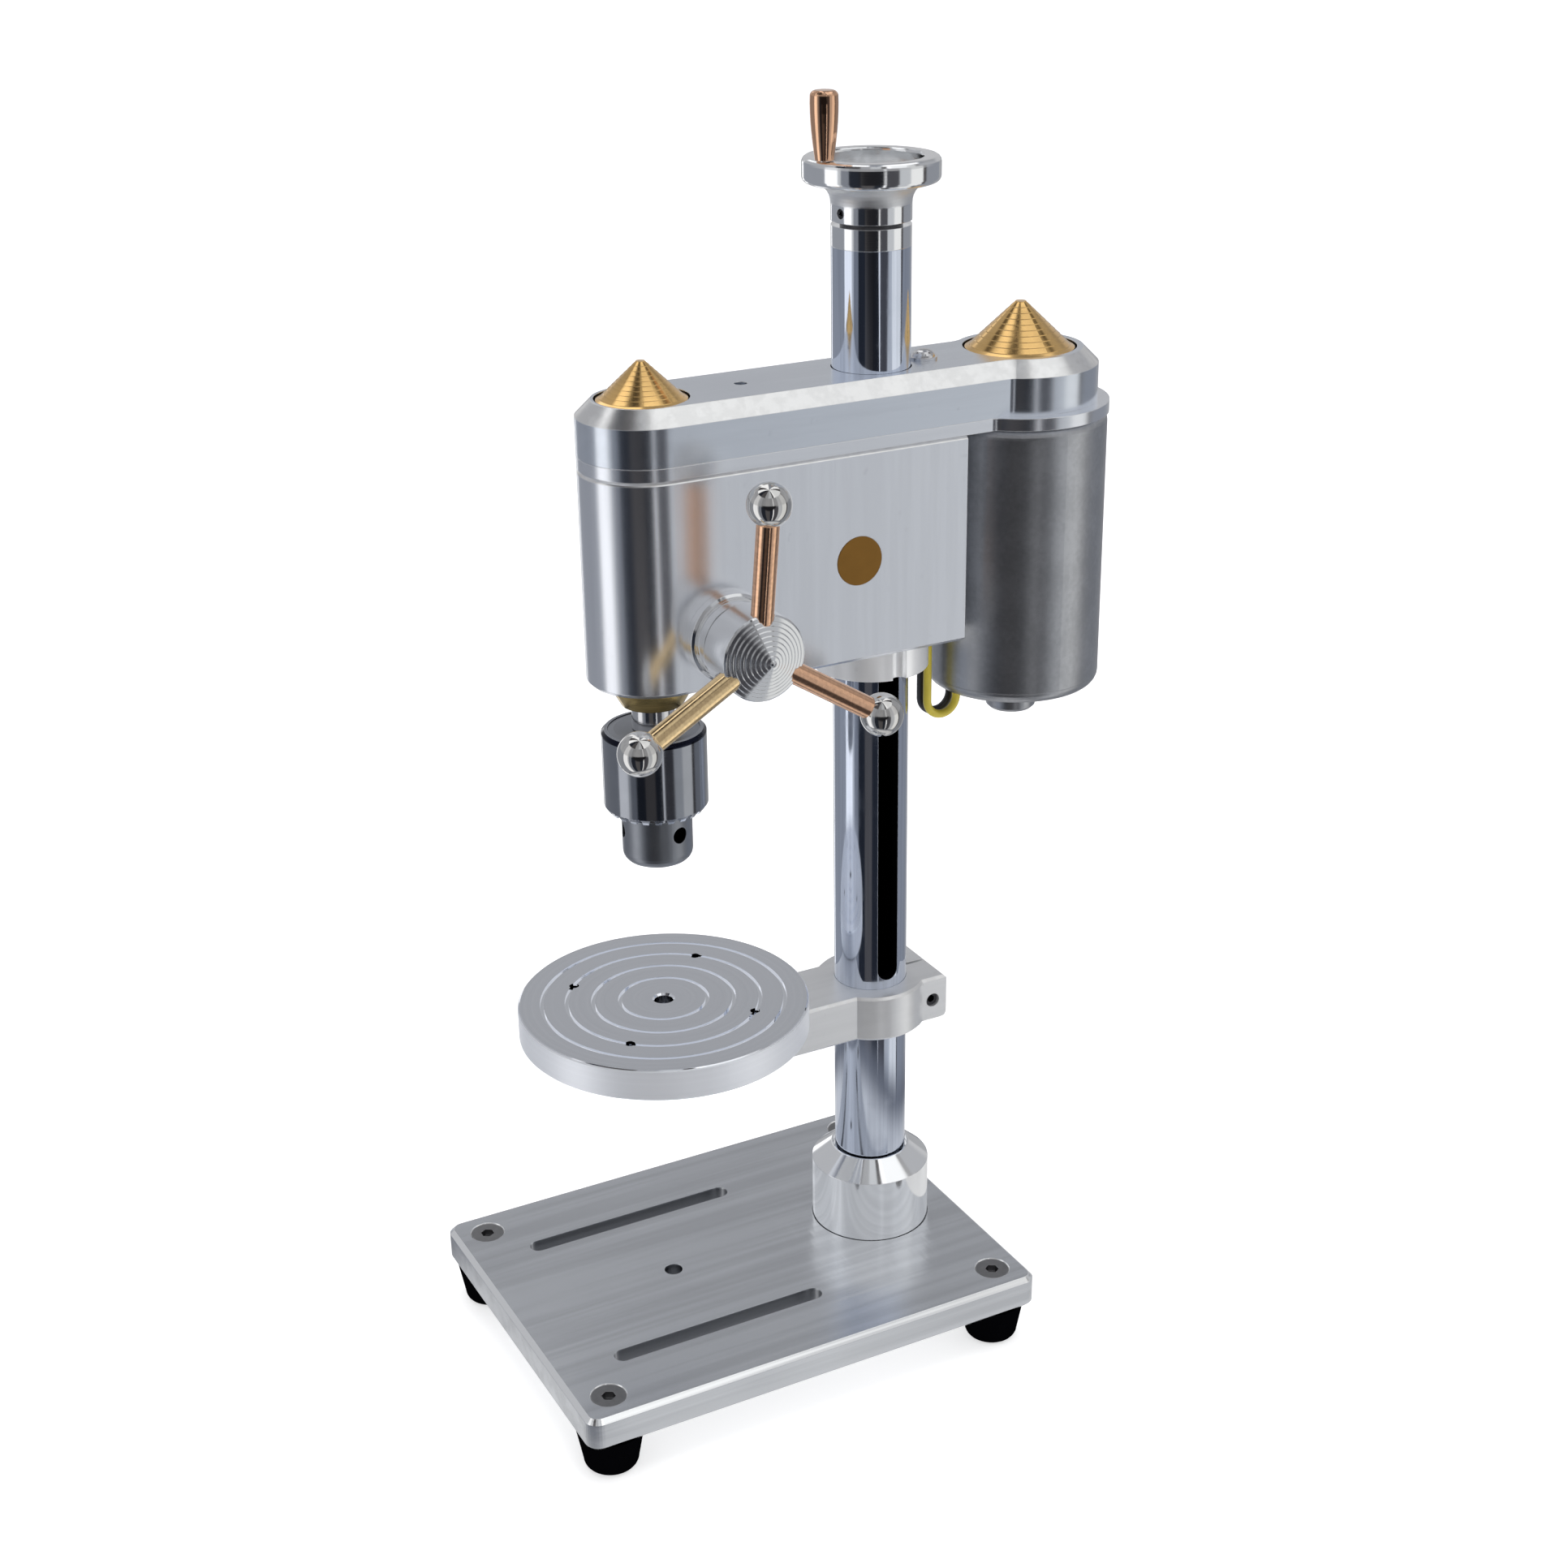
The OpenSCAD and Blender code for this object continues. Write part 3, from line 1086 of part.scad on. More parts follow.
module feed_hub() color("silver") at_feed() difference() {
  rotate_extrude() polygon(concat(
    [[0, hub_back], [hub_d*0.44, hub_back], [hub_d*0.44, hub_back + hub_l*0.06],
    [hub_d*0.47, hub_back + hub_l*0.06], [hub_d/2, hub_back + hub_l*0.1], [hub_d/2, hub_face - hub_l*0.04],
    [hub_d*0.48, hub_face]],
    [for (i = [1:hub_rings], k = [0, 1]) [hub_d*0.48*(1 - (i - 0.2 + 0.2*k)/(hub_rings + 0.6)),
      hub_face + hub_cone_h*(i - 0.55 + 0.55*k)/(hub_rings + 0.6)]],
    [[0, hub_face + hub_cone_h]]));
  translate([0, 0, hub_back - overrun])
    cylinder(d = feed_shaft_d + 2*fixed_gap, h = hub_l*0.8 + overrun + part_gap);
  on_rods() translate([0, 0, rod_seat]) cylinder(d = rod_d + 2*fixed_gap, h = hub_d);
}

module handle_rods() color("rosybrown") at_feed() on_rods() translate([0, 0, rod_seat + part_gap])
  cylinder(d = rod_d, h = rod_l - rod_seat - part_gap - ball_seat);

module handle_balls() color("silver") at_feed() on_rods() difference() {
  translate([0, 0, rod_l]) sphere(d = ball_d);
  cylinder(d = rod_d + 2*fixed_gap, h = rod_l - ball_seat + part_gap);
}

// Table

table_z = base_top + table_top_h - table_t;
arm_z = table_z - arm_t;
clamp_r = column_d/2 + clamp_wall;
ear_half = arm_w/2;
ear_rear = column_d/2 + ear_reach;
clamp_screw_y = column_d/2 + ear_reach*0.46;
clamp_screw_z = arm_z + arm_t*0.48;
clamp_screw_sink = clamp_screw_d*0.25;
arm_edge = arm_t*0.055;
ear_round = arm_t*0.17;
table_edge = table_t*0.06;
groove_shares = [0.3, 0.485, 0.665, 0.835];
groove_depth = ring_groove_w*0.6;
table_screw_r = arm_w*0.34;
table_screw_d = table_bolt_d*1.2;
table_screw_head_d = table_screw_d*1.8;

// A round slab of the arm with both its edges chamfered
module arm_disc(d) translate([0, 0, arm_z]) rotate_extrude() polygon([[0, 0],
  [d/2 - arm_edge, 0], [d/2, arm_edge], [d/2, arm_t - arm_edge], [d/2 - arm_edge, arm_t], [0, arm_t]]);

// A straight stretch of the arm that ends at y_end, with its four long edges chamfered
module arm_bar(l, y_end) translate([0, y_end, arm_z]) rotate([90, 0, 0]) linear_extrude(l) polygon([
  [-arm_w/2 + arm_edge, 0], [arm_w/2 - arm_edge, 0], [arm_w/2, arm_edge], [arm_w/2, arm_t - arm_edge],
  [arm_w/2 - arm_edge, arm_t], [-arm_w/2 + arm_edge, arm_t], [-arm_w/2, arm_t - arm_edge],
  [-arm_w/2, arm_edge]]);

// The ears' lower corner at the rear is rounded
module ears() intersection() {
  arm_bar(ear_rear, ear_rear);
  translate([-ear_half, 0, arm_z]) rotate([90, 0, 90]) linear_extrude(2*ear_half) polygon(concat(
    [[0, 0]], arc(ear_rear - ear_round, ear_round, ear_round, -90, 0, 5),
    [[ear_rear, arm_t - arm_edge], [ear_rear - arm_edge, arm_t], [0, arm_t]]));
}

module table_arm() color("silver") at_column() difference() {
  union() {
    arm_disc(2*clamp_r);
    ears();
    arm_bar(throat, 0);
    translate([0, -throat, 0]) arm_disc(arm_w + 2*round_proud);
  }
  hole(column_d + 2*running_gap, arm_z, arm_t);
  translate([-slit_w/2, 0, arm_z - overrun]) cube([slit_w, ear_rear + overrun, arm_t + 2*overrun]);
  translate([-ear_half - overrun, clamp_screw_y, clamp_screw_z]) rotate([0, 90, 0])
    cylinder(d = clamp_screw_d + 2*running_gap, h = 2*(ear_half + overrun));
  translate([0, -throat, 0]) {
    hole(table_hole_d*1.5, arm_z, arm_t);
    for (a = [0, 120, 240]) rotate([0, 0, a - 90]) translate([table_screw_r, 0, 0]) {
      hole(table_screw_d + 2*fixed_gap, arm_z, arm_t);
      post(table_screw_head_d + 2*fixed_gap, arm_z - overrun, table_screw_d + overrun);
    }
  }
}

module round_table() color("gainsboro") at_spindle() difference() {
  translate([0, 0, table_z]) rotate_extrude() polygon(concat(
    [[table_hole_d/2, table_edge], [table_hole_d/2 + table_edge, 0],
    [table_d/2 - table_edge, 0], [table_d/2, table_edge],
    [table_d/2, table_t - table_edge], [table_d/2 - table_edge, table_t]],
    [for (i = [len(groove_shares) - 1:-1:0], k = [0:3]) let (r = table_d/2*groove_shares[i])
      [r + (k < 2 ? 1 : -1)*ring_groove_w/2, k == 1 || k == 2 ? table_t - groove_depth : table_t]],
    [[table_hole_d/2 + table_edge, table_t], [table_hole_d/2, table_t - table_edge]]));
  for (a = [45:90:315]) rotate([0, 0, a]) translate([table_bolt_circle_d/2, 0, 0])
    hole(table_bolt_d, table_z, table_t);
  for (a = [0, 120, 240]) rotate([0, 0, a - 90]) translate([table_screw_r, 0, 0])
    post(table_screw_d + 2*fixed_gap, table_z - overrun, table_t*0.6 + overrun);
}

module table_screws() color("dimgray") at_spindle() for (a = [0, 120, 240]) rotate([0, 0, a - 90])
  translate([table_screw_r, 0, arm_z]) difference() {
    union() {
      cylinder(d = table_screw_head_d, h = table_screw_d - fixed_gap);
      cylinder(d = table_screw_d, h = arm_t + table_t*0.55);
    }
    translate([0, 0, -overrun]) cylinder(d = table_screw_d, h = overrun + table_screw_d*0.6, $fn = 6);
  }

// The clamp screw's socket lies a little below the ear's face
module clamp_screw() color("dimgray") at_column() translate([-ear_half, clamp_screw_y, clamp_screw_z])
  rotate([0, 90, 0]) difference() {
    cylinder(d = clamp_screw_d, h = 2*ear_half - clamp_screw_sink);
    translate([0, 0, 2*ear_half - clamp_screw_sink - clamp_screw_d*0.6])
      cylinder(d = clamp_screw_d*0.6, h = clamp_screw_d, $fn = 6);
  }

base_plate();
rubber_feet();
foot_screws();
column_collar();
collar_bolts();
column_tube();
top_ring();
thrust_washer();
handwheel();
wheel_grub_screw();
lead_screw();
crank_pin();
crank_grip();
lift_nut();
lower_ring();
ring_screws();
head_block();
side_disc();
belt_plate();
belt_cover();
cover_screws();
drive_belt();
pulley_bearings();
spindle_pulley();
front_cone();
motor_can();
motor_end_cap();
motor_screws();
field_magnets();
carbon_brushes();
motor_bearings();
motor_rotor();
motor_pulley();
rear_cone();
yellow_wire();
black_wire();
quill();
quill_bearings();
quill_nose();
spindle();
chuck_body();
chuck_sleeve();
jaw_nut();
jaw_one();
jaw_two();
jaw_three();
pinion_shaft();
feed_flange();
far_bush();
spring_cap();
return_spring();
feed_hub();
handle_rods();
handle_balls();
table_arm();
round_table();
table_screws();
clamp_screw();
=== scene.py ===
# Looks of a mini drill press: finishes, fine detail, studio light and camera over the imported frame
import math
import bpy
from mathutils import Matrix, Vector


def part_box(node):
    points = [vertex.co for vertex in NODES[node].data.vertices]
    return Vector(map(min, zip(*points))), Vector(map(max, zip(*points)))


bl_info = {
    "name": "Mini Drill Press Looks",
    "version": (1, 0, 0),
    "blender": (4, 5, 0),
    "location": "3D View > Sidebar > Drill Press",
    "description": "Dresses the packed model of a small bench drill press and lights it",
    "category": "Object",
}

import bpy
from bpy.props import FloatProperty, FloatVectorProperty, PointerProperty
from bpy.types import Operator, Panel, PropertyGroup
from mathutils import Matrix, Vector

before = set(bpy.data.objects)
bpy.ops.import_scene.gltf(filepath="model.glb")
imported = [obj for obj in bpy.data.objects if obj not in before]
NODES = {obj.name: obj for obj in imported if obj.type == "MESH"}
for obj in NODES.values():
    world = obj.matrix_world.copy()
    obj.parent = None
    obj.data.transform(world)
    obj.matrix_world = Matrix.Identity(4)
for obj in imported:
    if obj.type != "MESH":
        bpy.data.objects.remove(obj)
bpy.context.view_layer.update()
MM = 0.001
UP = Vector((0, 0, 1))
SIDEWAYS = Vector((1, 0, 0))
FORWARDS = Vector((0, 1, 0))
LEVEL = Vector((1, 1, 0))


def middle(node):
    """Centre of a node's box."""
    low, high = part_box(node)
    return (low + high) / 2


# Shader expressions


class Wire:
    """A shader socket that takes part in Python expressions: each operation adds one Math node."""

    def __init__(self, graph, socket):
        self.graph = graph
        self.socket = socket

    def math(self, operation, *values):
        """One Math node on the given values."""
        inputs = dict(enumerate(values))
        return self.graph.node("ShaderNodeMath", {"operation": operation}, inputs)

    def __add__(self, other):
        return self.math("ADD", self, other)

    def __radd__(self, other):
        return self.math("ADD", other, self)

    def __sub__(self, other):
        return self.math("SUBTRACT", self, other)

    def __rsub__(self, other):
        return self.math("SUBTRACT", other, self)

    def __mul__(self, other):
        return self.math("MULTIPLY", self, other)

    def __rmul__(self, other):
        return self.math("MULTIPLY", other, self)

    def __truediv__(self, other):
        return self.math("DIVIDE", self, other)

    def __mod__(self, other):
        return self.math("FLOORED_MODULO", self, other)

    def __abs__(self):
        return self.math("ABSOLUTE", self)


class Graph:
    """The node tree of one material or of the studio's world."""

    def __init__(self, tree):
        self.tree = tree
        tree.nodes.clear()

    def node(self, kind, settings=None, inputs=None, output=0):
        """Adds a node: its settings go in first, then the values or wires of its sockets."""
        made = self.tree.nodes.new(kind)
        for name, value in (settings or {}).items():
            if name == "stops":
                fill_ramp(made.color_ramp, value)
            else:
                setattr(made, name, value)
        for name, value in (inputs or {}).items():
            if isinstance(value, Wire):
                self.tree.links.new(value.socket, made.inputs[name])
            else:
                made.inputs[name].default_value = value
        return Wire(self, made.outputs[output]) if len(made.outputs) else None

    def vector(self, operation, *values):
        """Vector maths; lengths and dot products come from the second output."""
        output = 1 if operation in ("LENGTH", "DOT_PRODUCT") else 0
        inputs = dict(enumerate(values))
        return self.node("ShaderNodeVectorMath", {"operation": operation}, inputs, output)

    def scaled(self, vector, factor):
        """A vector made longer or shorter."""
        return self.node("ShaderNodeVectorMath", {"operation": "SCALE"}, {0: vector, "Scale": factor})

    def place(self):
        """Where the surface is in the machine's own frame, in metres."""
        return self.node("ShaderNodeTexCoord", output="Object")

    def part(self, vector, index):
        """One coordinate of a vector."""
        return self.node("ShaderNodeSeparateXYZ", None, {0: vector}, index)

    def height(self):
        """How high the surface is in the machine's own frame."""
        return self.part(self.place(), 2)

    def distance(self, centre):
        """How far the surface is from the upright line through a point."""
        offset = self.vector("SUBTRACT", self.place(), centre)
        return self.vector("LENGTH", self.vector("MULTIPLY", offset, LEVEL))

    def noise(self, vector, detail=2.0, rough=0.5):
        """Cloudy noise in space; the vector's unit is the size of a cloud."""
        inputs = {"Vector": vector, "Scale": 1.0, "Detail": detail, "Roughness": rough}
        return self.node("ShaderNodeTexNoise", {"noise_dimensions": "3D"}, inputs)

    def noise_along(self, distance, detail=2.0, rough=0.6):
        """Noise that changes along one distance only."""
        inputs = {"W": distance, "Scale": 1.0, "Detail": detail, "Roughness": rough}
        return self.node("ShaderNodeTexNoise", {"noise_dimensions": "1D"}, inputs)

    def smooth(self, value, low, high):
        """Rises from 0 at low to 1 at high."""
        settings = {"interpolation_type": "SMOOTHSTEP"}
        inputs = {0: value, 1: low, 2: high, 3: 0.0, 4: 1.0}
        return self.node("ShaderNodeMapRange", settings, inputs)

    def blend(self, factor, first, second):
        """Mixes two colours."""
        inputs = {0: factor, 6: first, 7: second}
        return self.node("ShaderNodeMix", {"data_type": "RGBA"}, inputs, 2)


def fill_ramp(ramp, stops):
    """Gives a colour ramp its stops, each a place from 0 to 1 and a colour."""
    while len(ramp.elements) < len(stops):
        ramp.elements.new(0.5)
    for element, (place, colour) in zip(ramp.elements, stops):
        element.position = place
        element.color = (*colour[:3], 1)


def tone(colour, factor=1.0):
    """A colour for a socket, made lighter or darker."""
    return (*(min(1.0, part * factor) for part in colour), 1.0)


# Surface patterns


def patches(g, size, detail=3.0):
    """Soft cloudy patches of a given size."""
    return g.noise(g.scaled(g.place(), 1 / size), detail)


def brushed(g, direction, width, length):
    """Fine straight tool lines that run along one of the machine's axes."""
    stretch = Vector((1, 1, 1)) / width
    stretch = stretch - direction * (1 / width - 1 / length)
    return g.noise(g.vector("MULTIPLY", g.place(), stretch), 3.0, 0.6)


def turned(g, centre, axis, pitch):
    """Tool lines round an axis: rings on its end faces and hoops on its round sides."""
    place = g.vector("SUBTRACT", g.place(), centre)
    along = g.vector("DOT_PRODUCT", place, axis)
    radius = g.vector("LENGTH", g.vector("SUBTRACT", place, g.scaled(axis, along)))
    return g.noise_along((radius + along) / pitch)


def edge_light(g, radius):
    """1 along the edges of a piece and 0 on its faces."""
    round_normal = g.node("ShaderNodeBevel", {"samples": 4}, {"Radius": radius})
    flat_normal = g.node("ShaderNodeNewGeometry", output="Normal")
    return g.smooth(1 - g.vector("DOT_PRODUCT", round_normal, flat_normal), 0.01, 0.2)


def chamfers(g):
    """1 on faces that slope halfway between upright and level, 0 on the others."""
    normal = g.node("ShaderNodeNewGeometry", output="True Normal")
    tilt = g.part(normal, 2)
    return g.smooth(tilt, 0.35, 0.5) * g.smooth(tilt, 0.92, 0.8)


def new_material(name):
    """An empty material and its graph."""
    material = bpy.data.materials.new(name)
    material.use_nodes = True
    return material, Graph(material.node_tree)


def finish(
    name, colour, roughness, metallic=1.0, lines=None, line_depth=0.0, coat=0.0, edge=0.0, shine=0.5
):
    """A material whose colour, roughness and height each come from a function of its graph."""
    material, g = new_material(name)
    parts = {
        "Base Color": colour(g),
        "Roughness": roughness(g),
        "Metallic": metallic(g) if callable(metallic) else metallic,
        "Specular IOR Level": shine,
    }
    if coat:
        parts["Coat Weight"] = coat
        parts["Coat Roughness"] = 0.08
    normal = None
    if edge:
        normal = g.node("ShaderNodeBevel", {"samples": 4}, {"Radius": edge})
    if lines:
        inputs = {"Height": lines(g), "Distance": line_depth, "Strength": 1.0}
        if normal:
            inputs["Normal"] = normal
        normal = g.node("ShaderNodeBump", None, inputs)
    if normal:
        parts["Normal"] = normal
    shader = g.node("ShaderNodeBsdfPrincipled", None, parts)
    g.node("ShaderNodeOutputMaterial", None, {"Surface": shader})
    return material


def dress(node, material):
    """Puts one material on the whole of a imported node."""
    slots = NODES[node].material_slots
    if not slots:
        raise RuntimeError(f"{node} has no material slot")
    for slot in slots:
        slot.material = material


# Finishes of this machine

# Painted sheen: mottled tones that stand in for the light that sloping chamfers catch
CHAMFER_SHEEN_DARK = (0.76, 0.76, 0.755, 1)
CHAMFER_SHEEN_LIGHT = (0.82, 0.82, 0.815, 1)
# Painted highlight along edges
EDGE_HIGHLIGHT = (0.97, 0.97, 0.97, 1)
# Painted shade for bores, keyways and holes
RECESS_SHADE_BLACK = (0.004, 0.004, 0.005, 1)
RING_BLACK = (0.012, 0.014, 0.025, 1)


def milled(name, look, direction, low, high, collar):
    """Satin aluminium with the marks of a face mill, painted highlights on its chamfers and painted
    shade on the walls of its slots and holes.
    """
    rim = 1.5 * MM
    seam = 1 * MM
    middle_y = (low.y + high.y) / 2
    reach = high.y - middle_y

    def inside(g):
        x = g.part(g.place(), 0)
        y = g.part(g.place(), 1)
        z = g.height()
        wide = g.smooth(abs(x), high.x - rim, high.x - rim - seam)
        long = g.smooth(abs(y - middle_y), reach - rim, reach - rim - seam)
        deep = g.smooth(z, high.z - 0.1 * MM, high.z - 0.9 * MM)
        return wide * long * deep * g.smooth(z, low.z + 0.1 * MM, low.z + 0.3 * MM)

    def colour(g):
        streaks = g.smooth(brushed(g, direction, 8 * MM, 300 * MM), 0.36, 0.64)
        plate = g.blend(streaks, tone(look.plate_colour, 0.9), tone(look.plate_colour, 1.06))
        # Painted highlight: the plate's chamfers are half again as light
        lit = g.blend(chamfers(g), plate, tone(look.plate_colour, 1.5))
        # Painted shade: the walls of slots and holes are darker
        return g.blend(inside(g), lit, tone(look.slot_shade_colour))

    def height(g):
        near_collar = g.smooth(g.distance(collar), 58 * MM, 22 * MM)
        scratches = brushed(g, direction, 0.9 * MM, 120 * MM)
        waves = brushed(g, direction, 11 * MM, 600 * MM)
        ripples = brushed(g, SIDEWAYS, 10 * MM, 34 * MM)
        return 0.12 * scratches + 9 * waves + 22 * ripples * near_collar

    def roughness(g):
        cloudy = 0.1 * (patches(g, 30 * MM) - 0.5)
        streaky = 0.06 * (brushed(g, direction, 3 * MM, 200 * MM) - 0.5)
        return look.plate_roughness + cloudy + streaky - 0.15 * chamfers(g)

    return finish(name, colour, roughness, lines=height, line_depth=0.02 * MM, edge=0.35 * MM)


def satin(name, look, direction, colour=None, extra_roughness=0.0, metallic=1.0):
    """Drawn aluminium, sanded along its length, with a few dull specks, a painted sheen on its
    chamfers and painted highlights along its edges.
    """
    base = colour or look.satin_colour

    def shade(g):
        streaks = g.smooth(brushed(g, direction, 5 * MM, 90 * MM), 0.35, 0.65)
        sanded = g.blend(streaks, tone(base, 0.975), tone(base, 1.015))
        specks = g.smooth(patches(g, 3 * MM, 6.0), 0.64, 0.76) * 0.3
        dusty = g.blend(specks, sanded, tone(base, 0.82))
        clouds = g.smooth(patches(g, 4 * MM, 6.0), 0.4, 0.62)
        # Painted sheen: chamfers take lighter mottled tones in place of the light they catch
        mottled_sheen = g.blend(clouds, CHAMFER_SHEEN_DARK, CHAMFER_SHEEN_LIGHT)
        faces = g.blend(chamfers(g), dusty, mottled_sheen)
        # Painted highlight: edges are lightened towards near white
        return g.blend(edge_light(g, 0.45 * MM) * 0.8, faces, EDGE_HIGHLIGHT)

    def roughness(g):
        cloudy = 0.08 * (patches(g, 22 * MM) - 0.5)
        streaky = 0.03 * (brushed(g, direction, 1.5 * MM, 90 * MM) - 0.5)
        return look.satin_roughness + extra_roughness + cloudy + streaky

    return finish(
        name,
        shade,
        roughness,
        metallic,
        lines=lambda g: brushed(g, direction, 0.7 * MM, 60 * MM),
        line_depth=0.002 * MM,
        edge=0.4 * MM,
    )


def polished(
    name, look, centre, axis=UP, pitch=0.4 * MM, depth=0.004 * MM, colour=None, dull_zone=None
):
    """Turned and polished metal with faint tool lines; dull_zone is sanded at mid height."""
    base = colour or look.polished_colour

    def roughness(g):
        lines = 0.06 * (turned(g, centre, axis, 0.9 * MM) - 0.5)
        plain = look.polished_roughness + 0.05 * (patches(g, 16 * MM) - 0.5) + lines
        if dull_zone is None:
            return plain
        low, high = dull_zone
        share = (g.height() - low) / (high - low)
        return plain + 0.4 * g.smooth(share, 0.24, 0.3) * g.smooth(share, 0.62, 0.56)

    return finish(
        name,
        lambda g: g.blend(patches(g, 12 * MM), tone(base, 0.97), tone(base, 1.03)),
        roughness,
        lines=lambda g: turned(g, centre, axis, pitch),
        line_depth=depth,
        edge=0.35 * MM,
    )


def faced_disc(name, look, centre, radius, top):
    """A disc faced on a lathe: its grooves shine and its rim is duller."""

    def rim(g):
        return g.smooth(g.distance(centre), radius - 0.5 * MM, radius - 0.2 * MM)

    def groove(g):
        return g.smooth(g.height(), top - 0.03 * MM, top - 0.2 * MM) * (1 - rim(g))

    def colour(g):
        base = look.table_colour
        face = g.blend(turned(g, centre, UP, 2 * MM), tone(base, 0.95), tone(base, 1.02))
        # Painted highlight: the grooves are a tenth lighter, on top of their real polish
        return g.blend(groove(g), face, tone(base, 1.1))

    def roughness(g):
        lines = 0.05 * (turned(g, centre, UP, 0.9 * MM) - 0.5)
        return look.polished_roughness + 0.07 + 0.26 * rim(g) - 0.13 * groove(g) + lines

    return finish(
        name,
        colour,
        roughness,
        lambda g: 1 - 0.5 * rim(g),
        lines=lambda g: turned(g, centre, UP, 0.5 * MM),
        line_depth=0.006 * MM,
        edge=0.12 * MM,
    )


def chromed(name, colour, roughness):
    """Hard chrome with faint rub marks along its length and a few dull smears."""

    def shade(g):
        rubs = g.smooth(brushed(g, UP, 2.2 * MM, 120 * MM), 0.35, 0.65)
        return g.blend(rubs, tone(colour, 0.92), tone(colour, 1.06))

    def dullness(g):
        smears = 0.1 * g.smooth(patches(g, 14 * MM, 5.0), 0.55, 0.75)
        return roughness + smears + 0.03 * brushed(g, UP, 0.5 * MM, 60 * MM)

    return finish(
        name,
        shade,
        dullness,
        lines=lambda g: brushed(g, UP, 3 * MM, 90 * MM),
        line_depth=0.01 * MM,
        edge=0.2 * MM,
    )


def column_chrome(name, look, centre, radius):
    """Hard chrome outside; the bore and the keyway's walls are painted black as shade."""

    def outside(g):
        return g.smooth(g.distance(centre), radius - 0.35 * MM, radius - 0.1 * MM)

    def colour(g):
        streaks = g.smooth(brushed(g, UP, 2.4 * MM, 130 * MM), 0.35, 0.65)
        chrome = g.blend(streaks, tone(look.column_colour, 0.9), tone(look.column_colour, 1.06))
        # Painted shade: the bore and the keyway's walls are black
        return g.blend(outside(g), RECESS_SHADE_BLACK, chrome)

    def roughness(g):
        smears = 0.12 * g.smooth(patches(g, 16 * MM, 5.0), 0.5, 0.75)
        rubs = 0.03 * brushed(g, UP, 0.5 * MM, 60 * MM)
        return 0.85 - outside(g) * (0.79 - smears - rubs)

    return finish(
        name,
        colour,
        roughness,
        lines=lambda g: brushed(g, UP, 3 * MM, 90 * MM),
        line_depth=0.012 * MM,
        edge=0.2 * MM,
    )


def brass(name, look, centre, axis=UP, colour=None):
    """Turned brass, a little darker in its patches and tool lines."""
    base = colour or look.brass_colour

    def shade(g):
        marks = turned(g, centre, axis, 0.8 * MM) + 0.4 * patches(g, 6 * MM)
        return g.blend(g.smooth(marks, 0.5, 0.9), tone(base, 0.84), tone(base, 1.08))

    return finish(
        name,
        shade,
        lambda g: look.brass_roughness + 0.1 * (patches(g, 5 * MM) - 0.5),
        lines=lambda g: turned(g, centre, axis, 0.6 * MM),
        line_depth=0.006 * MM,
        edge=0.15 * MM,
    )


def rose(name, look, direction, roughness, gilt=None):
    """Copper-coloured polished metal; gilt says where it turns golden."""

    def colour(g):
        lines = g.smooth(brushed(g, direction, 1.2 * MM, 50 * MM), 0.3, 0.7)
        copper = g.blend(lines, tone(look.rose_colour, 0.88), tone(look.rose_colour, 1.08))
        if gilt is None:
            return copper
        gold = g.blend(lines, tone(look.gilt_colour, 0.88), tone(look.gilt_colour, 1.08))
        return g.blend(gilt(g), copper, gold)

    return finish(
        name,
        colour,
        lambda g: roughness + 0.05 * (brushed(g, direction, 0.8 * MM, 40 * MM) - 0.5),
        lines=lambda g: brushed(g, direction, 0.6 * MM, 40 * MM),
        line_depth=0.003 * MM,
        edge=0.3 * MM,
    )


def gunmetal(name, look, centre, marks=None, extra_roughness=0.0):
    """Dark blued steel with rubbed edges; marks may darken or brighten parts of the piece."""

    def colour(g):
        base = look.chuck_colour
        blued = g.blend(patches(g, 9 * MM), tone(base, 0.88), tone(base, 1.12))
        rubbed = g.blend(edge_light(g, 0.35 * MM) * 0.7, blued, tone(base, 2.0))
        if marks is None:
            return rubbed
        return marks(g, rubbed, g.distance(centre), g.height())

    def roughness(g):
        cloudy = 0.1 * (patches(g, 7 * MM) - 0.5)
        lines = 0.05 * (turned(g, centre, UP, 0.7 * MM) - 0.5)
        return look.chuck_roughness + extra_roughness + cloudy + lines

    return finish(
        name,
        colour,
        roughness,
        lines=lambda g: turned(g, centre, UP, 0.6 * MM),
        line_depth=0.004 * MM,
        edge=0.15 * MM,
    )


def can_metal(name, look, centre):
    """Zinc-plated motor can with a fine crystalline mottling."""

    def colour(g):
        crystals = patches(g, 1.6 * MM, 5.0) * 0.4 + patches(g, 13 * MM) * 0.6
        share = g.smooth(crystals, 0.38, 0.64)
        return g.blend(share, tone(look.motor_colour, 0.92), tone(look.motor_colour, 1.08))

    return finish(
        name,
        colour,
        lambda g: look.motor_roughness + 0.1 * (patches(g, 2.2 * MM, 4.0) - 0.5),
        lines=lambda g: patches(g, 1.2 * MM, 3.0) + 0.5 * turned(g, centre, UP, 2 * MM),
        line_depth=0.005 * MM,
        edge=0.4 * MM,
    )


def steel(name, look, centre, axis=UP, colour=None, roughness=0.16):
    """Ground steel of shafts, bearings and jaws."""
    base = colour or look.steel_colour
    return finish(
        name,
        lambda g: g.blend(patches(g, 8 * MM), tone(base, 0.9), tone(base, 1.08)),
        lambda g: roughness + 0.1 * (turned(g, centre, axis, 0.6 * MM) - 0.5),
        lines=lambda g: turned(g, centre, axis, 0.3 * MM),
        line_depth=0.005 * MM,
        edge=0.2 * MM,
    )


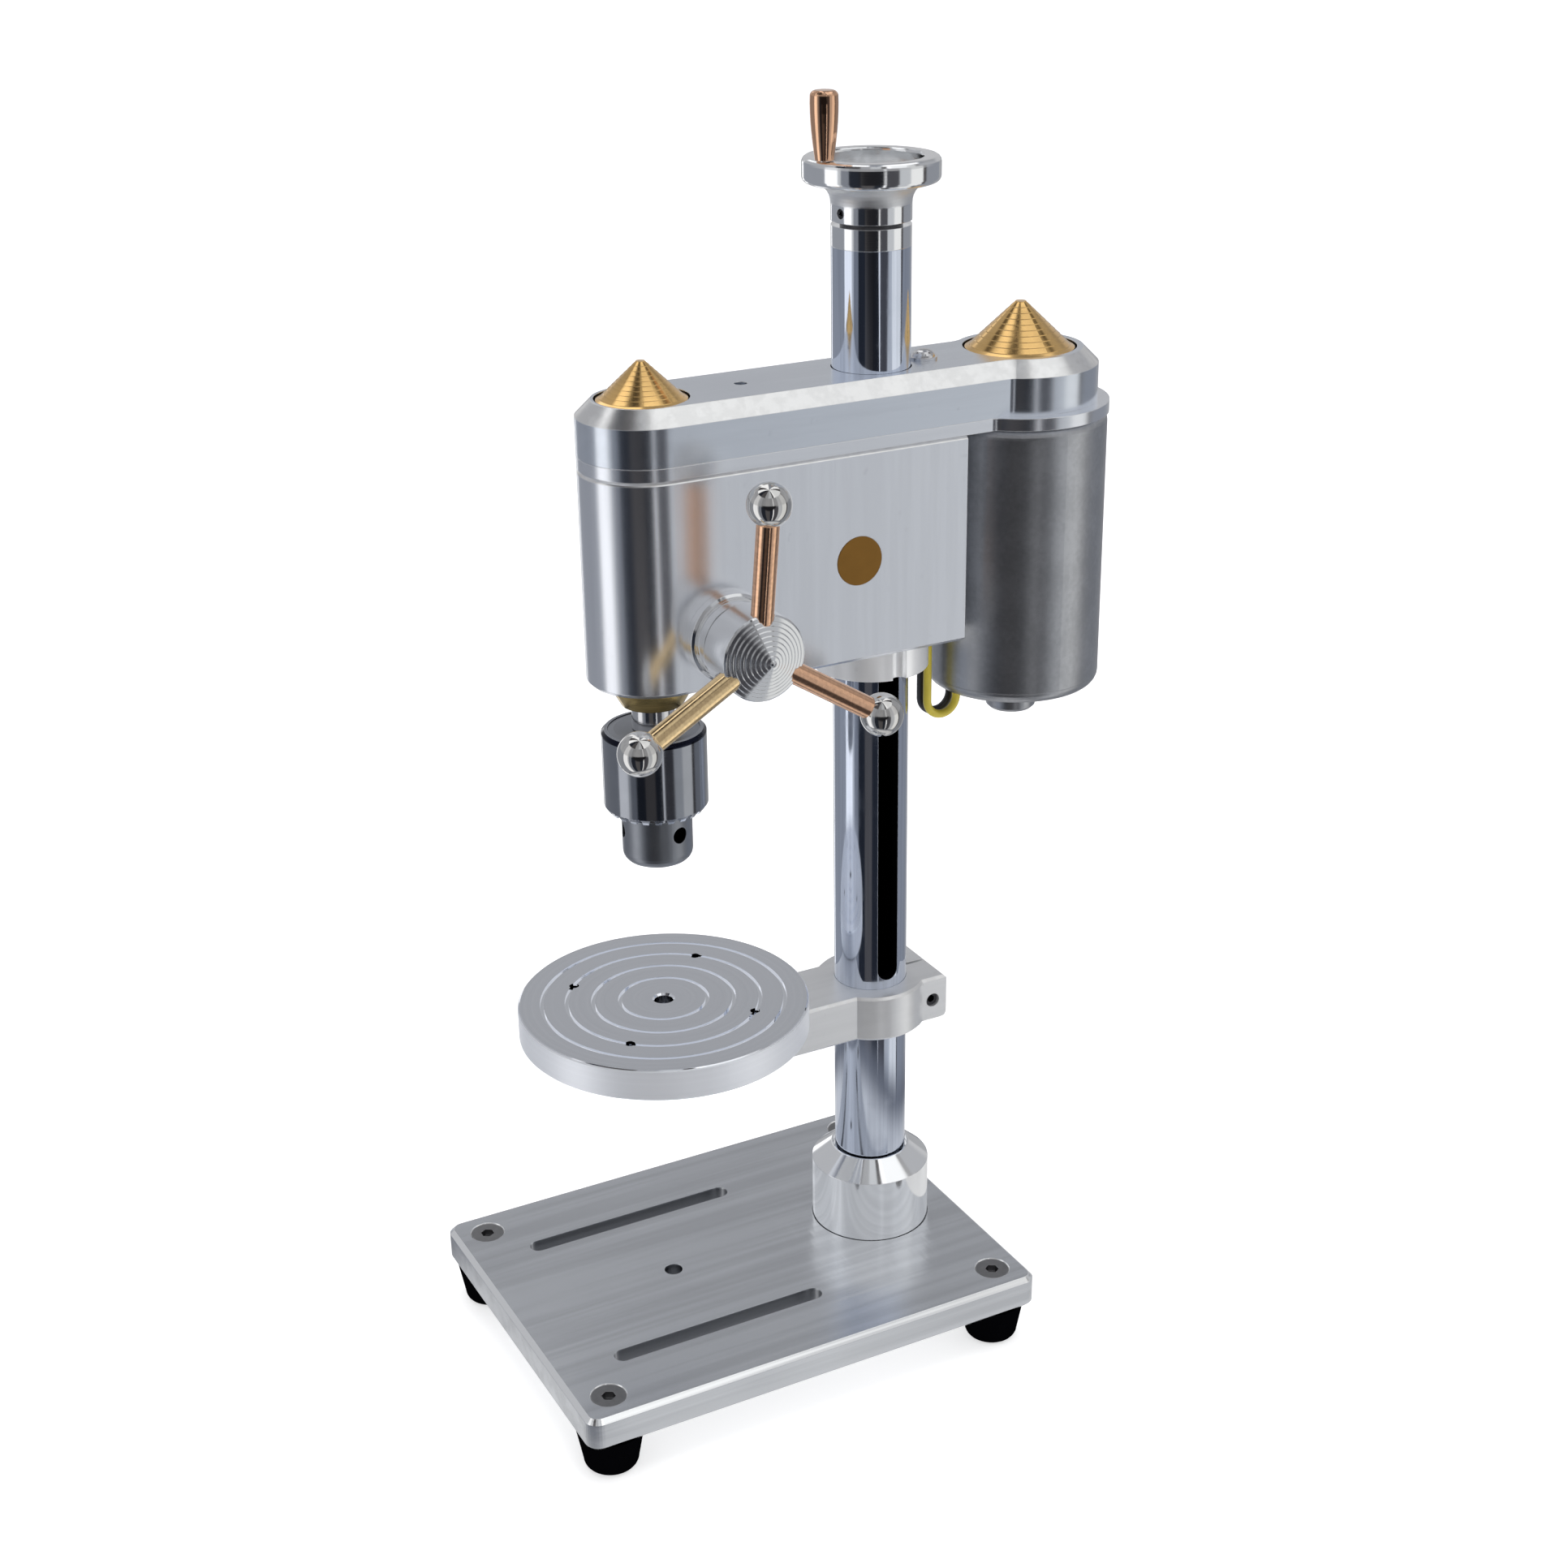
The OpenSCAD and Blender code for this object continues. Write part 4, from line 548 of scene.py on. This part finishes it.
def blackened(name, look, colour=None):
    """Black-oxide screws with lighter worn edges."""
    base = colour or look.screw_colour

    def shade(g):
        black = g.blend(patches(g, 2 * MM), tone(base, 0.85), tone(base, 1.2))
        return g.blend(edge_light(g, 0.25 * MM) * 0.8, black, tone(base, 2.6))

    return finish(
        name,
        shade,
        lambda g: 0.34 + 0.2 * (patches(g, 1.5 * MM) - 0.5),
        lines=lambda g: patches(g, 0.3 * MM),
        line_depth=0.006 * MM,
        edge=0.2 * MM,
    )


def dull(name, colour, roughness, metallic=0.0, coat=0.0, shine=0.5):
    """Rubber, plastic, iron or insulation with a fine grain."""
    return finish(
        name,
        lambda g: g.blend(patches(g, 6 * MM), tone(colour, 0.86), tone(colour, 1.16)),
        lambda g: roughness + 0.14 * (patches(g, 3 * MM) - 0.5),
        metallic,
        lines=lambda g: patches(g, 0.6 * MM),
        line_depth=0.015 * MM,
        coat=coat,
        edge=0.3 * MM,
        shine=shine,
    )


# Colours, finishes and studio values that a user would change


def colour_value(name, default):
    """A colour property."""
    return FloatVectorProperty(
        name=name,
        description=f"{name} in linear light",
        subtype="COLOR",
        size=3,
        min=0,
        max=1,
        default=default,
    )


def share_value(name, description, default):
    """A property from 0 to 1."""
    return FloatProperty(
        name=name, description=description, subtype="FACTOR", min=0, max=1, default=default
    )


class PressLook(PropertyGroup):
    """Colours and polish of the machine's metals."""

    plate_colour: colour_value("Base plate colour", (0.66, 0.68, 0.71))
    # Painted shade on the walls of the base plate's slots and holes
    slot_shade_colour: colour_value("Slot wall colour", (0.34, 0.35, 0.37))
    foot_screw_colour: colour_value("Foot screw colour", (0.23, 0.23, 0.235))
    collar_colour: colour_value("Collar colour", (0.91, 0.92, 0.93))
    lower_ring_colour: colour_value("Lower ring colour", (0.93, 0.935, 0.94))
    satin_colour: colour_value("Head colour", (0.76, 0.78, 0.82))
    polished_colour: colour_value("Turned parts' colour", (0.80, 0.81, 0.82))
    column_colour: colour_value("Column colour", (0.60, 0.65, 0.75))
    hub_colour: colour_value("Handle hub colour", (0.68, 0.69, 0.70))
    ball_colour: colour_value("Handle ball colour", (0.64, 0.635, 0.62))
    cover_colour: colour_value("Belt cover colour", (0.66, 0.70, 0.76))
    table_colour: colour_value("Table colour", (0.80, 0.82, 0.86))
    arm_colour: colour_value("Table arm colour", (0.76, 0.765, 0.77))
    brass_colour: colour_value("Brass colour", (0.87, 0.56, 0.22))
    # Brass colour darkened as painted shade under the head
    nose_shade_colour: colour_value("Quill nose colour", (0.56, 0.41, 0.16))
    rose_colour: colour_value("Handle rod colour", (0.78, 0.47, 0.30))
    gilt_colour: colour_value("Golden rod colour", (0.90, 0.67, 0.37))
    chuck_colour: colour_value("Chuck colour", (0.30, 0.315, 0.345))
    motor_colour: colour_value("Motor can colour", (0.47, 0.48, 0.50))
    steel_colour: colour_value("Shaft colour", (0.62, 0.62, 0.63))
    lead_screw_colour: colour_value("Lead screw colour", (0.05, 0.05, 0.055))
    iron_colour: colour_value("Magnet and brush colour", (0.08, 0.08, 0.085))
    screw_colour: colour_value("Screw colour", (0.07, 0.07, 0.075))
    disc_colour: colour_value("Side disc colour", (0.25, 0.125, 0.026))
    rubber_colour: colour_value("Rubber colour", (0.0015, 0.0015, 0.002))
    yellow_wire_colour: colour_value("Yellow wire colour", (0.52, 0.42, 0.03))
    black_wire_colour: colour_value("Black wire colour", (0.012, 0.012, 0.014))
    plate_roughness: share_value("Base plate roughness", "How dull the base plate is", 0.24)
    satin_roughness: share_value("Head roughness", "How dull the head and the cover are", 0.23)
    polished_roughness: share_value("Polish", "How dull the turned parts are", 0.09)
    brass_roughness: share_value("Brass roughness", "How dull the brass is", 0.15)
    rose_roughness: share_value("Rod roughness", "How dull the handle rods are", 0.11)
    chuck_roughness: share_value("Chuck roughness", "How dull the chuck is", 0.12)
    motor_roughness: share_value("Motor roughness", "How dull the motor can is", 0.36)


class StudioLook(PropertyGroup):
    """Camera, floor and light."""

    camera_place: FloatVectorProperty(
        name="Camera",
        description="Where the camera stands",
        subtype="TRANSLATION",
        unit="LENGTH",
        size=3,
        default=(0.64382, -0.34242, 0.51227),
    )
    camera_aim: FloatVectorProperty(
        name="Aim",
        description="The point that the camera looks at",
        subtype="TRANSLATION",
        unit="LENGTH",
        size=3,
        default=(0, -0.00556, 0.20187),
    )
    camera_roll: FloatProperty(
        name="Roll",
        description="Turn of the camera about its line of sight",
        subtype="ANGLE",
        unit="ROTATION",
        default=math.radians(-0.795),
    )
    lens: FloatProperty(
        name="Lens", description="Focal length", subtype="DISTANCE_CAMERA", min=10, default=54.9
    )
    floor_colour: colour_value("Floor colour", (0.86, 0.86, 0.86))
    floor_glow: share_value("Floor glow", "Light that the pale floor adds by itself", 0.6)
    lamp_size: FloatProperty(
        name="Lamp size",
        description="Side of the soft box overhead",
        unit="LENGTH",
        min=0.1,
        default=1.5,
    )
    lamp_height: FloatProperty(
        name="Lamp height", description="Height of the soft box", unit="LENGTH", default=1.9
    )
    lamp_power: FloatProperty(
        name="Lamp power", description="Power of the soft box", unit="POWER", min=0, default=12
    )


class PRESS_OT_base(Operator):
    """Dresses the base plate, its feet and screws, and the collar"""

    bl_idname = "drill_press.base"
    bl_label = "Base"

    def execute(self, context):
        look = context.scene.press_look
        low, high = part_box("base_plate")
        collar = middle("column_tube")
        dress("base_plate", milled("milled_plate", look, FORWARDS, low, high, collar))
        dress("rubber_feet", dull("foot_rubber", look.rubber_colour, 0.8, shine=0.0))
        dress("foot_screws", blackened("foot_screw_grey", look, look.foot_screw_colour))
        dress("collar_bolts", blackened("collar_bolt_black", look))
        turned_collar = polished("collar_polish", look, collar, colour=look.collar_colour)
        dress("column_collar", turned_collar)
        return {"FINISHED"}


class PRESS_OT_column(Operator):
    """Dresses the column and the rings on it"""

    bl_idname = "drill_press.column"
    bl_label = "Column"

    def execute(self, context):
        look = context.scene.press_look
        centre = middle("column_tube")
        low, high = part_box("column_tube")
        radius = (high.x - low.x) / 2
        dress("column_tube", column_chrome("column_chrome", look, centre, radius))
        dress("top_ring", polished("ring_polish", look, centre))
        dress("lower_ring", satin("lower_ring_satin", look, UP, look.lower_ring_colour, 0.1, 0.6))
        dress("thrust_washer", blackened("washer_black", look))
        dress("ring_screws", blackened("ring_screw_black", look))
        return {"FINISHED"}


class PRESS_OT_lift(Operator):
    """Dresses the handwheel, its crank, the lead screw and the nut"""

    bl_idname = "drill_press.lift"
    bl_label = "Handwheel and lift"

    def execute(self, context):
        look = context.scene.press_look
        centre = middle("column_tube")
        low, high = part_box("handwheel")
        dress("handwheel", polished("wheel_polish", look, centre, dull_zone=(low.z, high.z)))
        dress("wheel_grub_screw", blackened("grub_black", look))
        dress("lead_screw", steel("screw_steel", look, centre, colour=look.lead_screw_colour))
        dress("crank_pin", steel("pin_steel", look, middle("crank_pin")))
        dress("crank_grip", rose("grip_rose", look, UP, 0.06))
        dress("lift_nut", brass("nut_brass", look, centre))
        return {"FINISHED"}


class PRESS_OT_table(Operator):
    """Dresses the round table, its arm and screws"""

    bl_idname = "drill_press.table"
    bl_label = "Table"

    def execute(self, context):
        look = context.scene.press_look
        centre = middle("round_table")
        low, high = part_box("round_table")
        face = faced_disc("table_face", look, centre, (high.x - low.x) / 2, high.z)
        dress("round_table", face)
        dress("table_arm", satin("arm_satin", look, FORWARDS, look.arm_colour, 0.12, 0.7))
        screws = blackened("table_screw_black", look)
        dress("table_screws", screws)
        dress("clamp_screw", screws)
        return {"FINISHED"}


class PRESS_OT_head(Operator):
    """Dresses the head block, the belt plate, the cover and its screws"""

    bl_idname = "drill_press.head"
    bl_label = "Head"

    def execute(self, context):
        look = context.scene.press_look
        dress("head_block", satin("head_satin", look, UP))
        dress("belt_plate", satin("plate_satin", look, FORWARDS))
        dress("belt_cover", satin("cover_satin", look, FORWARDS, look.cover_colour))
        dress("cover_screws", steel("cover_screw_steel", look, middle("cover_screws")))
        dress("side_disc", dull("disc_bronze", look.disc_colour, 0.34, metallic=0.85))
        return {"FINISHED"}


class PRESS_OT_drive(Operator):
    """Dresses the cones, pulleys, belt and bearings of the drive"""

    bl_idname = "drill_press.drive"
    bl_label = "Drive"

    def execute(self, context):
        look = context.scene.press_look
        front = middle("spindle_pulley")
        rear = middle("motor_pulley")
        dress("front_cone", brass("front_cone_brass", look, front))
        dress("rear_cone", brass("rear_cone_brass", look, rear))
        dress("spindle_pulley", polished("front_pulley_polish", look, front))
        dress("motor_pulley", polished("rear_pulley_polish", look, rear))
        dress("pulley_bearings", steel("pulley_bearing_steel", look, front))
        dress("drive_belt", dull("belt_rubber", look.rubber_colour, 0.6))
        return {"FINISHED"}


class PRESS_OT_motor(Operator):
    """Dresses the motor and what it holds"""

    bl_idname = "drill_press.motor"
    bl_label = "Motor"

    def execute(self, context):
        look = context.scene.press_look
        centre = middle("motor_can")
        zinc = can_metal("can_zinc", look, centre)
        dress("motor_can", zinc)
        dress("motor_end_cap", zinc)
        dress("motor_screws", blackened("motor_screw_black", look))
        dress("motor_bearings", steel("motor_bearing_steel", look, centre))
        dress("motor_rotor", steel("rotor_steel", look, centre, roughness=0.3))
        iron = dull("magnet_iron", look.iron_colour, 0.5, metallic=0.6)
        dress("field_magnets", iron)
        dress("carbon_brushes", iron)
        return {"FINISHED"}


class PRESS_OT_wires(Operator):
    """Dresses the motor's two wires"""

    bl_idname = "drill_press.wires"
    bl_label = "Wires"

    def execute(self, context):
        look = context.scene.press_look
        dress("yellow_wire", dull("yellow_sheath", look.yellow_wire_colour, 0.34, coat=0.3))
        dress("black_wire", dull("black_sheath", look.black_wire_colour, 0.34, coat=0.3))
        return {"FINISHED"}


class PRESS_OT_quill(Operator):
    """Dresses the quill, its nose, bearings and spindle"""

    bl_idname = "drill_press.quill"
    bl_label = "Quill"

    def execute(self, context):
        look = context.scene.press_look
        centre = middle("quill")
        ground = steel("quill_steel", look, centre, roughness=0.12)
        dress("quill", ground)
        dress("spindle", ground)
        dress("quill_bearings", steel("quill_bearing_steel", look, centre))
        # The nose's brass is darkened as painted shade under the head
        dress("quill_nose", brass("nose_brass", look, centre, colour=look.nose_shade_colour))
        return {"FINISHED"}


# Where the chuck's holes, ring and teeth are
CHUCK_NOSE_RADIUS = 11.4 * MM
SLEEVE_RING_HEIGHT = 1.5 * MM
TOOTH_HEIGHT = 3 * MM


class PRESS_OT_chuck(Operator):
    """Dresses the keyed chuck and its jaws"""

    bl_idname = "drill_press.chuck"
    bl_label = "Chuck"

    def execute(self, context):
        look = context.scene.press_look
        centre = middle("chuck_sleeve")
        nose_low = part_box("chuck_body")[0].z
        low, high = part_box("chuck_sleeve")
        sleeve_radius = (high.x - low.x) / 2
        seam = 0.2 * MM

        def black_holes(g, metal, radius, z):
            depth = g.smooth(radius, CHUCK_NOSE_RADIUS - 0.3 * MM, CHUCK_NOSE_RADIUS - 0.7 * MM)
            above_nose_round = g.smooth(z, nose_low + 4.5 * MM, nose_low + 5 * MM)
            below_sleeve = g.smooth(z, low.z - 0.5 * MM, low.z - 1 * MM)
            # Painted shade: the chuck's key holes are black
            return g.blend(depth * above_nose_round * below_sleeve, metal, RECESS_SHADE_BLACK)

        def ring_and_teeth(g, metal, radius, z):
            ring_low = high.z - SLEEVE_RING_HEIGHT
            side = g.smooth(z, ring_low - seam, ring_low + 0.1 * MM)
            ring = side * g.smooth(z, high.z - 0.02 * MM, high.z - 0.1 * MM)
            ringed = g.blend(ring, metal, RING_BLACK)
            cuts = g.smooth(radius, sleeve_radius - 0.6 * MM, sleeve_radius - 0.9 * MM)
            teeth_top = low.z + TOOTH_HEIGHT
            # Painted highlight: faces inside the sleeve's tooth cuts are more than twice as light
            teeth_highlight = cuts * g.smooth(z, teeth_top + seam, teeth_top - seam)
            return g.blend(teeth_highlight, ringed, tone(look.chuck_colour, 2.3))

        dress("chuck_body", gunmetal("chuck_gunmetal", look, centre, black_holes, 0.28))
        dress("jaw_nut", gunmetal("nut_gunmetal", look, centre))
        dress("chuck_sleeve", gunmetal("sleeve_gunmetal", look, centre, ring_and_teeth))
        jaws = steel("jaw_steel", look, centre)
        for node in ("jaw_one", "jaw_two", "jaw_three"):
            dress(node, jaws)
        return {"FINISHED"}


# From the hub towards the golden rod
GOLDEN_ROD_DIRECTION = Vector((0, -0.87, -0.5))


class PRESS_OT_feed(Operator):
    """Dresses the feed handle, its shaft, flange and spring"""

    bl_idname = "drill_press.feed"
    bl_label = "Feed handle"

    def execute(self, context):
        look = context.scene.press_look
        centre = middle("feed_hub")
        turned_parts = polished(
            "hub_polish", look, centre, SIDEWAYS, 0.45 * MM, 0.012 * MM, look.hub_colour
        )
        for node in ("feed_hub", "feed_flange", "spring_cap"):
            dress(node, turned_parts)
        dress("pinion_shaft", steel("pinion_steel", look, centre, SIDEWAYS))
        dress("return_spring", steel("spring_steel", look, centre, SIDEWAYS))
        dress("far_bush", brass("bush_brass", look, centre, SIDEWAYS))

        def golden_rod(g):
            offset = g.vector("SUBTRACT", g.place(), centre)
            ahead = g.vector("DOT_PRODUCT", offset, GOLDEN_ROD_DIRECTION)
            return g.smooth(ahead, 4 * MM, 9 * MM)

        rods = rose("rod_rose", look, SIDEWAYS, look.rose_roughness, golden_rod)
        dress("handle_rods", rods)
        dress("handle_balls", chromed("ball_chrome", look.ball_colour, 0.03))
        return {"FINISHED"}


# Studio lights
WHITE = (1.3, 1.3, 1.32)
BRIGHT = (1.05, 1.06, 1.07)
CREAM = (0.97, 0.97, 0.96)
MIRRORED = (0.70, 0.70, 0.71, 1)
PALE = (0.60, 0.615, 0.64)
DISTANT = (0.42, 0.42, 0.43, 1)
GREY = (0.40, 0.405, 0.42)
PALE_SLATE = (0.33, 0.345, 0.38)
SLATE = (0.30, 0.315, 0.35)
DARK_SLATE = (0.24, 0.255, 0.29)
SHADE = (0.095, 0.09, 0.092)
COAL = (0.08, 0.08, 0.09)
NAVY = (0.022, 0.026, 0.036)
NEAR_BLACK = (0.012, 0.012, 0.014, 1)

# Each panel has the angle where it ends, seen from above, and its light
WALL_PANELS = (
    (3, WHITE),
    (9, PALE),
    (23, DARK_SLATE),
    (43, NAVY),
    (65, SHADE),
    (81, NAVY),
    (85, WHITE),
    (107, COAL),
    (128, PALE),
    (154, CREAM),
    (162, SHADE),
    (206, SLATE),
    (262, GREY),
    (272, WHITE),
    (338, PALE_SLATE),
    (360, WHITE),
)
CEILING_PANELS = (
    (34, SHADE),
    (58, GREY),
    (84, PALE),
    (96, SHADE),
    (106, WHITE),
    (172, BRIGHT),
    (190, SHADE),
    (214, WHITE),
    (246, SLATE),
    (282, WHITE),
    (304, SHADE),
    (330, WHITE),
    (360, NAVY),
)
PANEL_SEAM = 1.2 / 360

# The pale patch of floor that metal mirrors
CARD_RADIUS = 0.2
CARD_DARK_RADIUS = 0.165
CARD_LIGHT_RADIUS = 0.125
CARD_POINTS = 64
CARD_WHITE = (0.90, 0.90, 0.90, 1)
CARD_GREY = (0.55, 0.55, 0.56, 1)
CARD_SLATE = (0.20, 0.21, 0.24, 1)


def add_mesh_object(name, points, faces):
    """A mesh object made from its points and faces."""
    mesh = bpy.data.meshes.new(name)
    mesh.from_pydata(points, [], faces)
    made = bpy.data.objects.new(name, mesh)
    bpy.context.scene.collection.objects.link(made)
    return made


def panel_stops(panels, brightest):
    """Stops of a colour ramp: flat panels with narrow soft seams."""
    stops = []
    start = 0.0
    for angle, light in panels:
        end = angle / 360
        shade = [part / brightest for part in light]
        stops.append((start + PANEL_SEAM / 2, shade))
        stops.append((end - PANEL_SEAM / 2, shade))
        start = end
    return stops


def studio_world(studio):
    """Light from all sides: upright panels round the machine, lamps overhead, pale below."""
    world = bpy.data.worlds.new("studio")
    bpy.context.scene.world = world
    world.use_nodes = True
    g = Graph(world.node_tree)
    view = g.node("ShaderNodeTexCoord", output="Generated")
    x, y, z = (g.part(view, index) for index in range(3))
    turn = (x.math("ARCTAN2", x, 0 - y) / (2 * math.pi)) % 1.0
    brightest = max(WHITE)
    wall, ceiling = (
        g.node("ShaderNodeValToRGB", {"stops": panel_stops(panels, brightest)}, {"Fac": turn})
        for panels in (WALL_PANELS, CEILING_PANELS)
    )
    # The far wall is plain near the horizon, which is what the belt cover's top mirrors
    back = g.smooth(turn, 0.53, 0.57) * (1 - g.smooth(turn, 0.74, 0.78))
    low_back = back * g.smooth(z, 0.02, 0.06) * (1 - g.smooth(z, 0.3, 0.46))
    wall = g.blend(low_back, wall, DISTANT)
    # The dark panels are low ones: above the horizon the room is paler
    pale = g.smooth(z, 0.02, 0.14) * (1 - back) * 0.6
    wall = g.blend(pale, wall, DISTANT)
    # Behind the camera the room is dark up to a little above the horizon
    aim = Vector(studio.camera_place) - Vector(studio.camera_aim)
    towards_camera = g.vector("DOT_PRODUCT", view, aim.normalized())
    dark = g.smooth(towards_camera, 0.74, 0.84) * g.smooth(z, 0.18, 0.1)
    wall = g.blend(dark, wall, NEAR_BLACK)
    sky = g.blend(g.smooth(z, 0.7, 0.74), wall, ceiling)
    # Metal seen in other metal mirrors a plainer, lighter room
    bounces = g.node("ShaderNodeLightPath", output="Ray Depth")
    room = g.blend(g.smooth(bounces, 2.2, 2.8) * 0.6, sky, MIRRORED)
    lit = g.node("ShaderNodeBackground", None, {"Color": room, "Strength": brightest})
    seen = g.node("ShaderNodeBackground", None, {"Color": (1, 1, 1, 1), "Strength": 1.0})
    camera_ray = g.node("ShaderNodeLightPath", output="Is Camera Ray")
    mixed = g.node("ShaderNodeMixShader", None, {0: camera_ray, 1: lit, 2: seen})
    g.node("ShaderNodeOutputWorld", None, {"Surface": mixed})


def floor_plane(studio):
    """The plain pale floor, which metal doesn't mirror."""
    reach = 30.0
    corners = [(-reach, -reach, 0), (reach, -reach, 0), (reach, reach, 0), (-reach, reach, 0)]
    floor = add_mesh_object("floor", corners, [(0, 1, 2, 3)])
    material, g = new_material("floor_paper")
    parts = {
        "Base Color": tone(studio.floor_colour),
        "Roughness": 0.9,
        "Emission Color": (1, 1, 1, 1),
        "Emission Strength": studio.floor_glow,
    }
    shader = g.node("ShaderNodeBsdfPrincipled", None, parts)
    g.node("ShaderNodeOutputMaterial", None, {"Surface": shader})
    floor.data.materials.append(material)
    floor.visible_glossy = False


def floor_card():
    """What metal mirrors of the floor: a pale round patch under and near the machine."""
    turns = [2 * math.pi * i / CARD_POINTS for i in range(CARD_POINTS)]
    lift = 0.1 * MM
    rim = [(CARD_RADIUS * math.cos(turn), CARD_RADIUS * math.sin(turn), lift) for turn in turns]
    card = add_mesh_object("floor_card", rim, [tuple(range(CARD_POINTS))])
    material, g = new_material("card_paper")
    radius = g.vector("LENGTH", g.place())
    near = g.blend(patches(g, 60 * MM), CARD_GREY, CARD_WHITE)
    far = g.smooth(radius, CARD_LIGHT_RADIUS, CARD_DARK_RADIUS)
    light = g.blend(far, near, CARD_SLATE)
    paper = g.node("ShaderNodeEmission", None, {"Color": light, "Strength": 1.0})
    clear = g.node("ShaderNodeBsdfTransparent")
    fade = g.smooth(radius, CARD_RADIUS * 0.8, CARD_RADIUS)
    mixed = g.node("ShaderNodeMixShader", None, {0: fade, 1: paper, 2: clear})
    g.node("ShaderNodeOutputMaterial", None, {"Surface": mixed})
    card.data.materials.append(material)
    card.visible_camera = False
    card.visible_diffuse = False
    card.visible_shadow = False
    card.visible_transmission = False


def soft_box(studio):
    """A large soft lamp straight above."""
    data = bpy.data.lights.new("soft_box", "AREA")
    data.size = studio.lamp_size
    data.energy = studio.lamp_power
    lamp = bpy.data.objects.new("soft_box", data)
    lamp.location = (0, 0, studio.lamp_height)
    lamp.visible_glossy = False
    bpy.context.scene.collection.objects.link(lamp)


def set_camera(studio):
    """The photograph's viewpoint."""
    data = bpy.data.cameras.new("camera")
    data.lens = studio.lens
    data.sensor_width = 36
    data.clip_start = 0.01
    data.clip_end = 100
    place = Vector(studio.camera_place)
    ahead = (Vector(studio.camera_aim) - place).normalized()
    right = ahead.cross(UP).normalized()
    up = right.cross(ahead)
    roll = studio.camera_roll
    leaned_right = math.cos(roll) * right + math.sin(roll) * up
    leaned_up = math.cos(roll) * up - math.sin(roll) * right
    turn = Matrix((leaned_right, leaned_up, -ahead)).transposed().to_4x4()
    camera = bpy.data.objects.new("camera", data)
    camera.matrix_world = Matrix.Translation(place) @ turn
    bpy.context.scene.collection.objects.link(camera)
    bpy.context.scene.camera = camera


class PRESS_OT_stage(Operator):
    """Sets up the floor, the light and the camera"""

    bl_idname = "drill_press.stage"
    bl_label = "Studio"

    def execute(self, context):
        studio = context.scene.press_studio
        set_camera(studio)
        studio_world(studio)
        floor_plane(studio)
        floor_card()
        soft_box(studio)
        context.scene.view_settings.view_transform = "Standard"
        return {"FINISHED"}


STEPS = (
    PRESS_OT_stage,
    PRESS_OT_base,
    PRESS_OT_column,
    PRESS_OT_lift,
    PRESS_OT_table,
    PRESS_OT_head,
    PRESS_OT_drive,
    PRESS_OT_motor,
    PRESS_OT_wires,
    PRESS_OT_quill,
    PRESS_OT_chuck,
    PRESS_OT_feed,
)


class PRESS_PT_panel(Panel):
    """Lists the steps that dress the machine"""

    bl_idname = "PRESS_PT_panel"
    bl_label = "Drill Press"
    bl_space_type = "VIEW_3D"
    bl_region_type = "UI"
    bl_category = "Drill Press"

    def draw(self, context):
        for step in STEPS:
            self.layout.operator(step.bl_idname)


CLASSES = (PressLook, StudioLook, *STEPS, PRESS_PT_panel)


def register():
    for each in CLASSES:
        bpy.utils.register_class(each)
    bpy.types.Scene.press_look = PointerProperty(type=PressLook)
    bpy.types.Scene.press_studio = PointerProperty(type=StudioLook)


def unregister():
    del bpy.types.Scene.press_studio
    del bpy.types.Scene.press_look
    for each in reversed(CLASSES):
        bpy.utils.unregister_class(each)


def main():
    """Registers the add-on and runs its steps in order."""
    register()
    for step in STEPS:
        group, name = step.bl_idname.split(".")
        getattr(getattr(bpy.ops, group), name)()


if __name__ == "__main__":
    main()
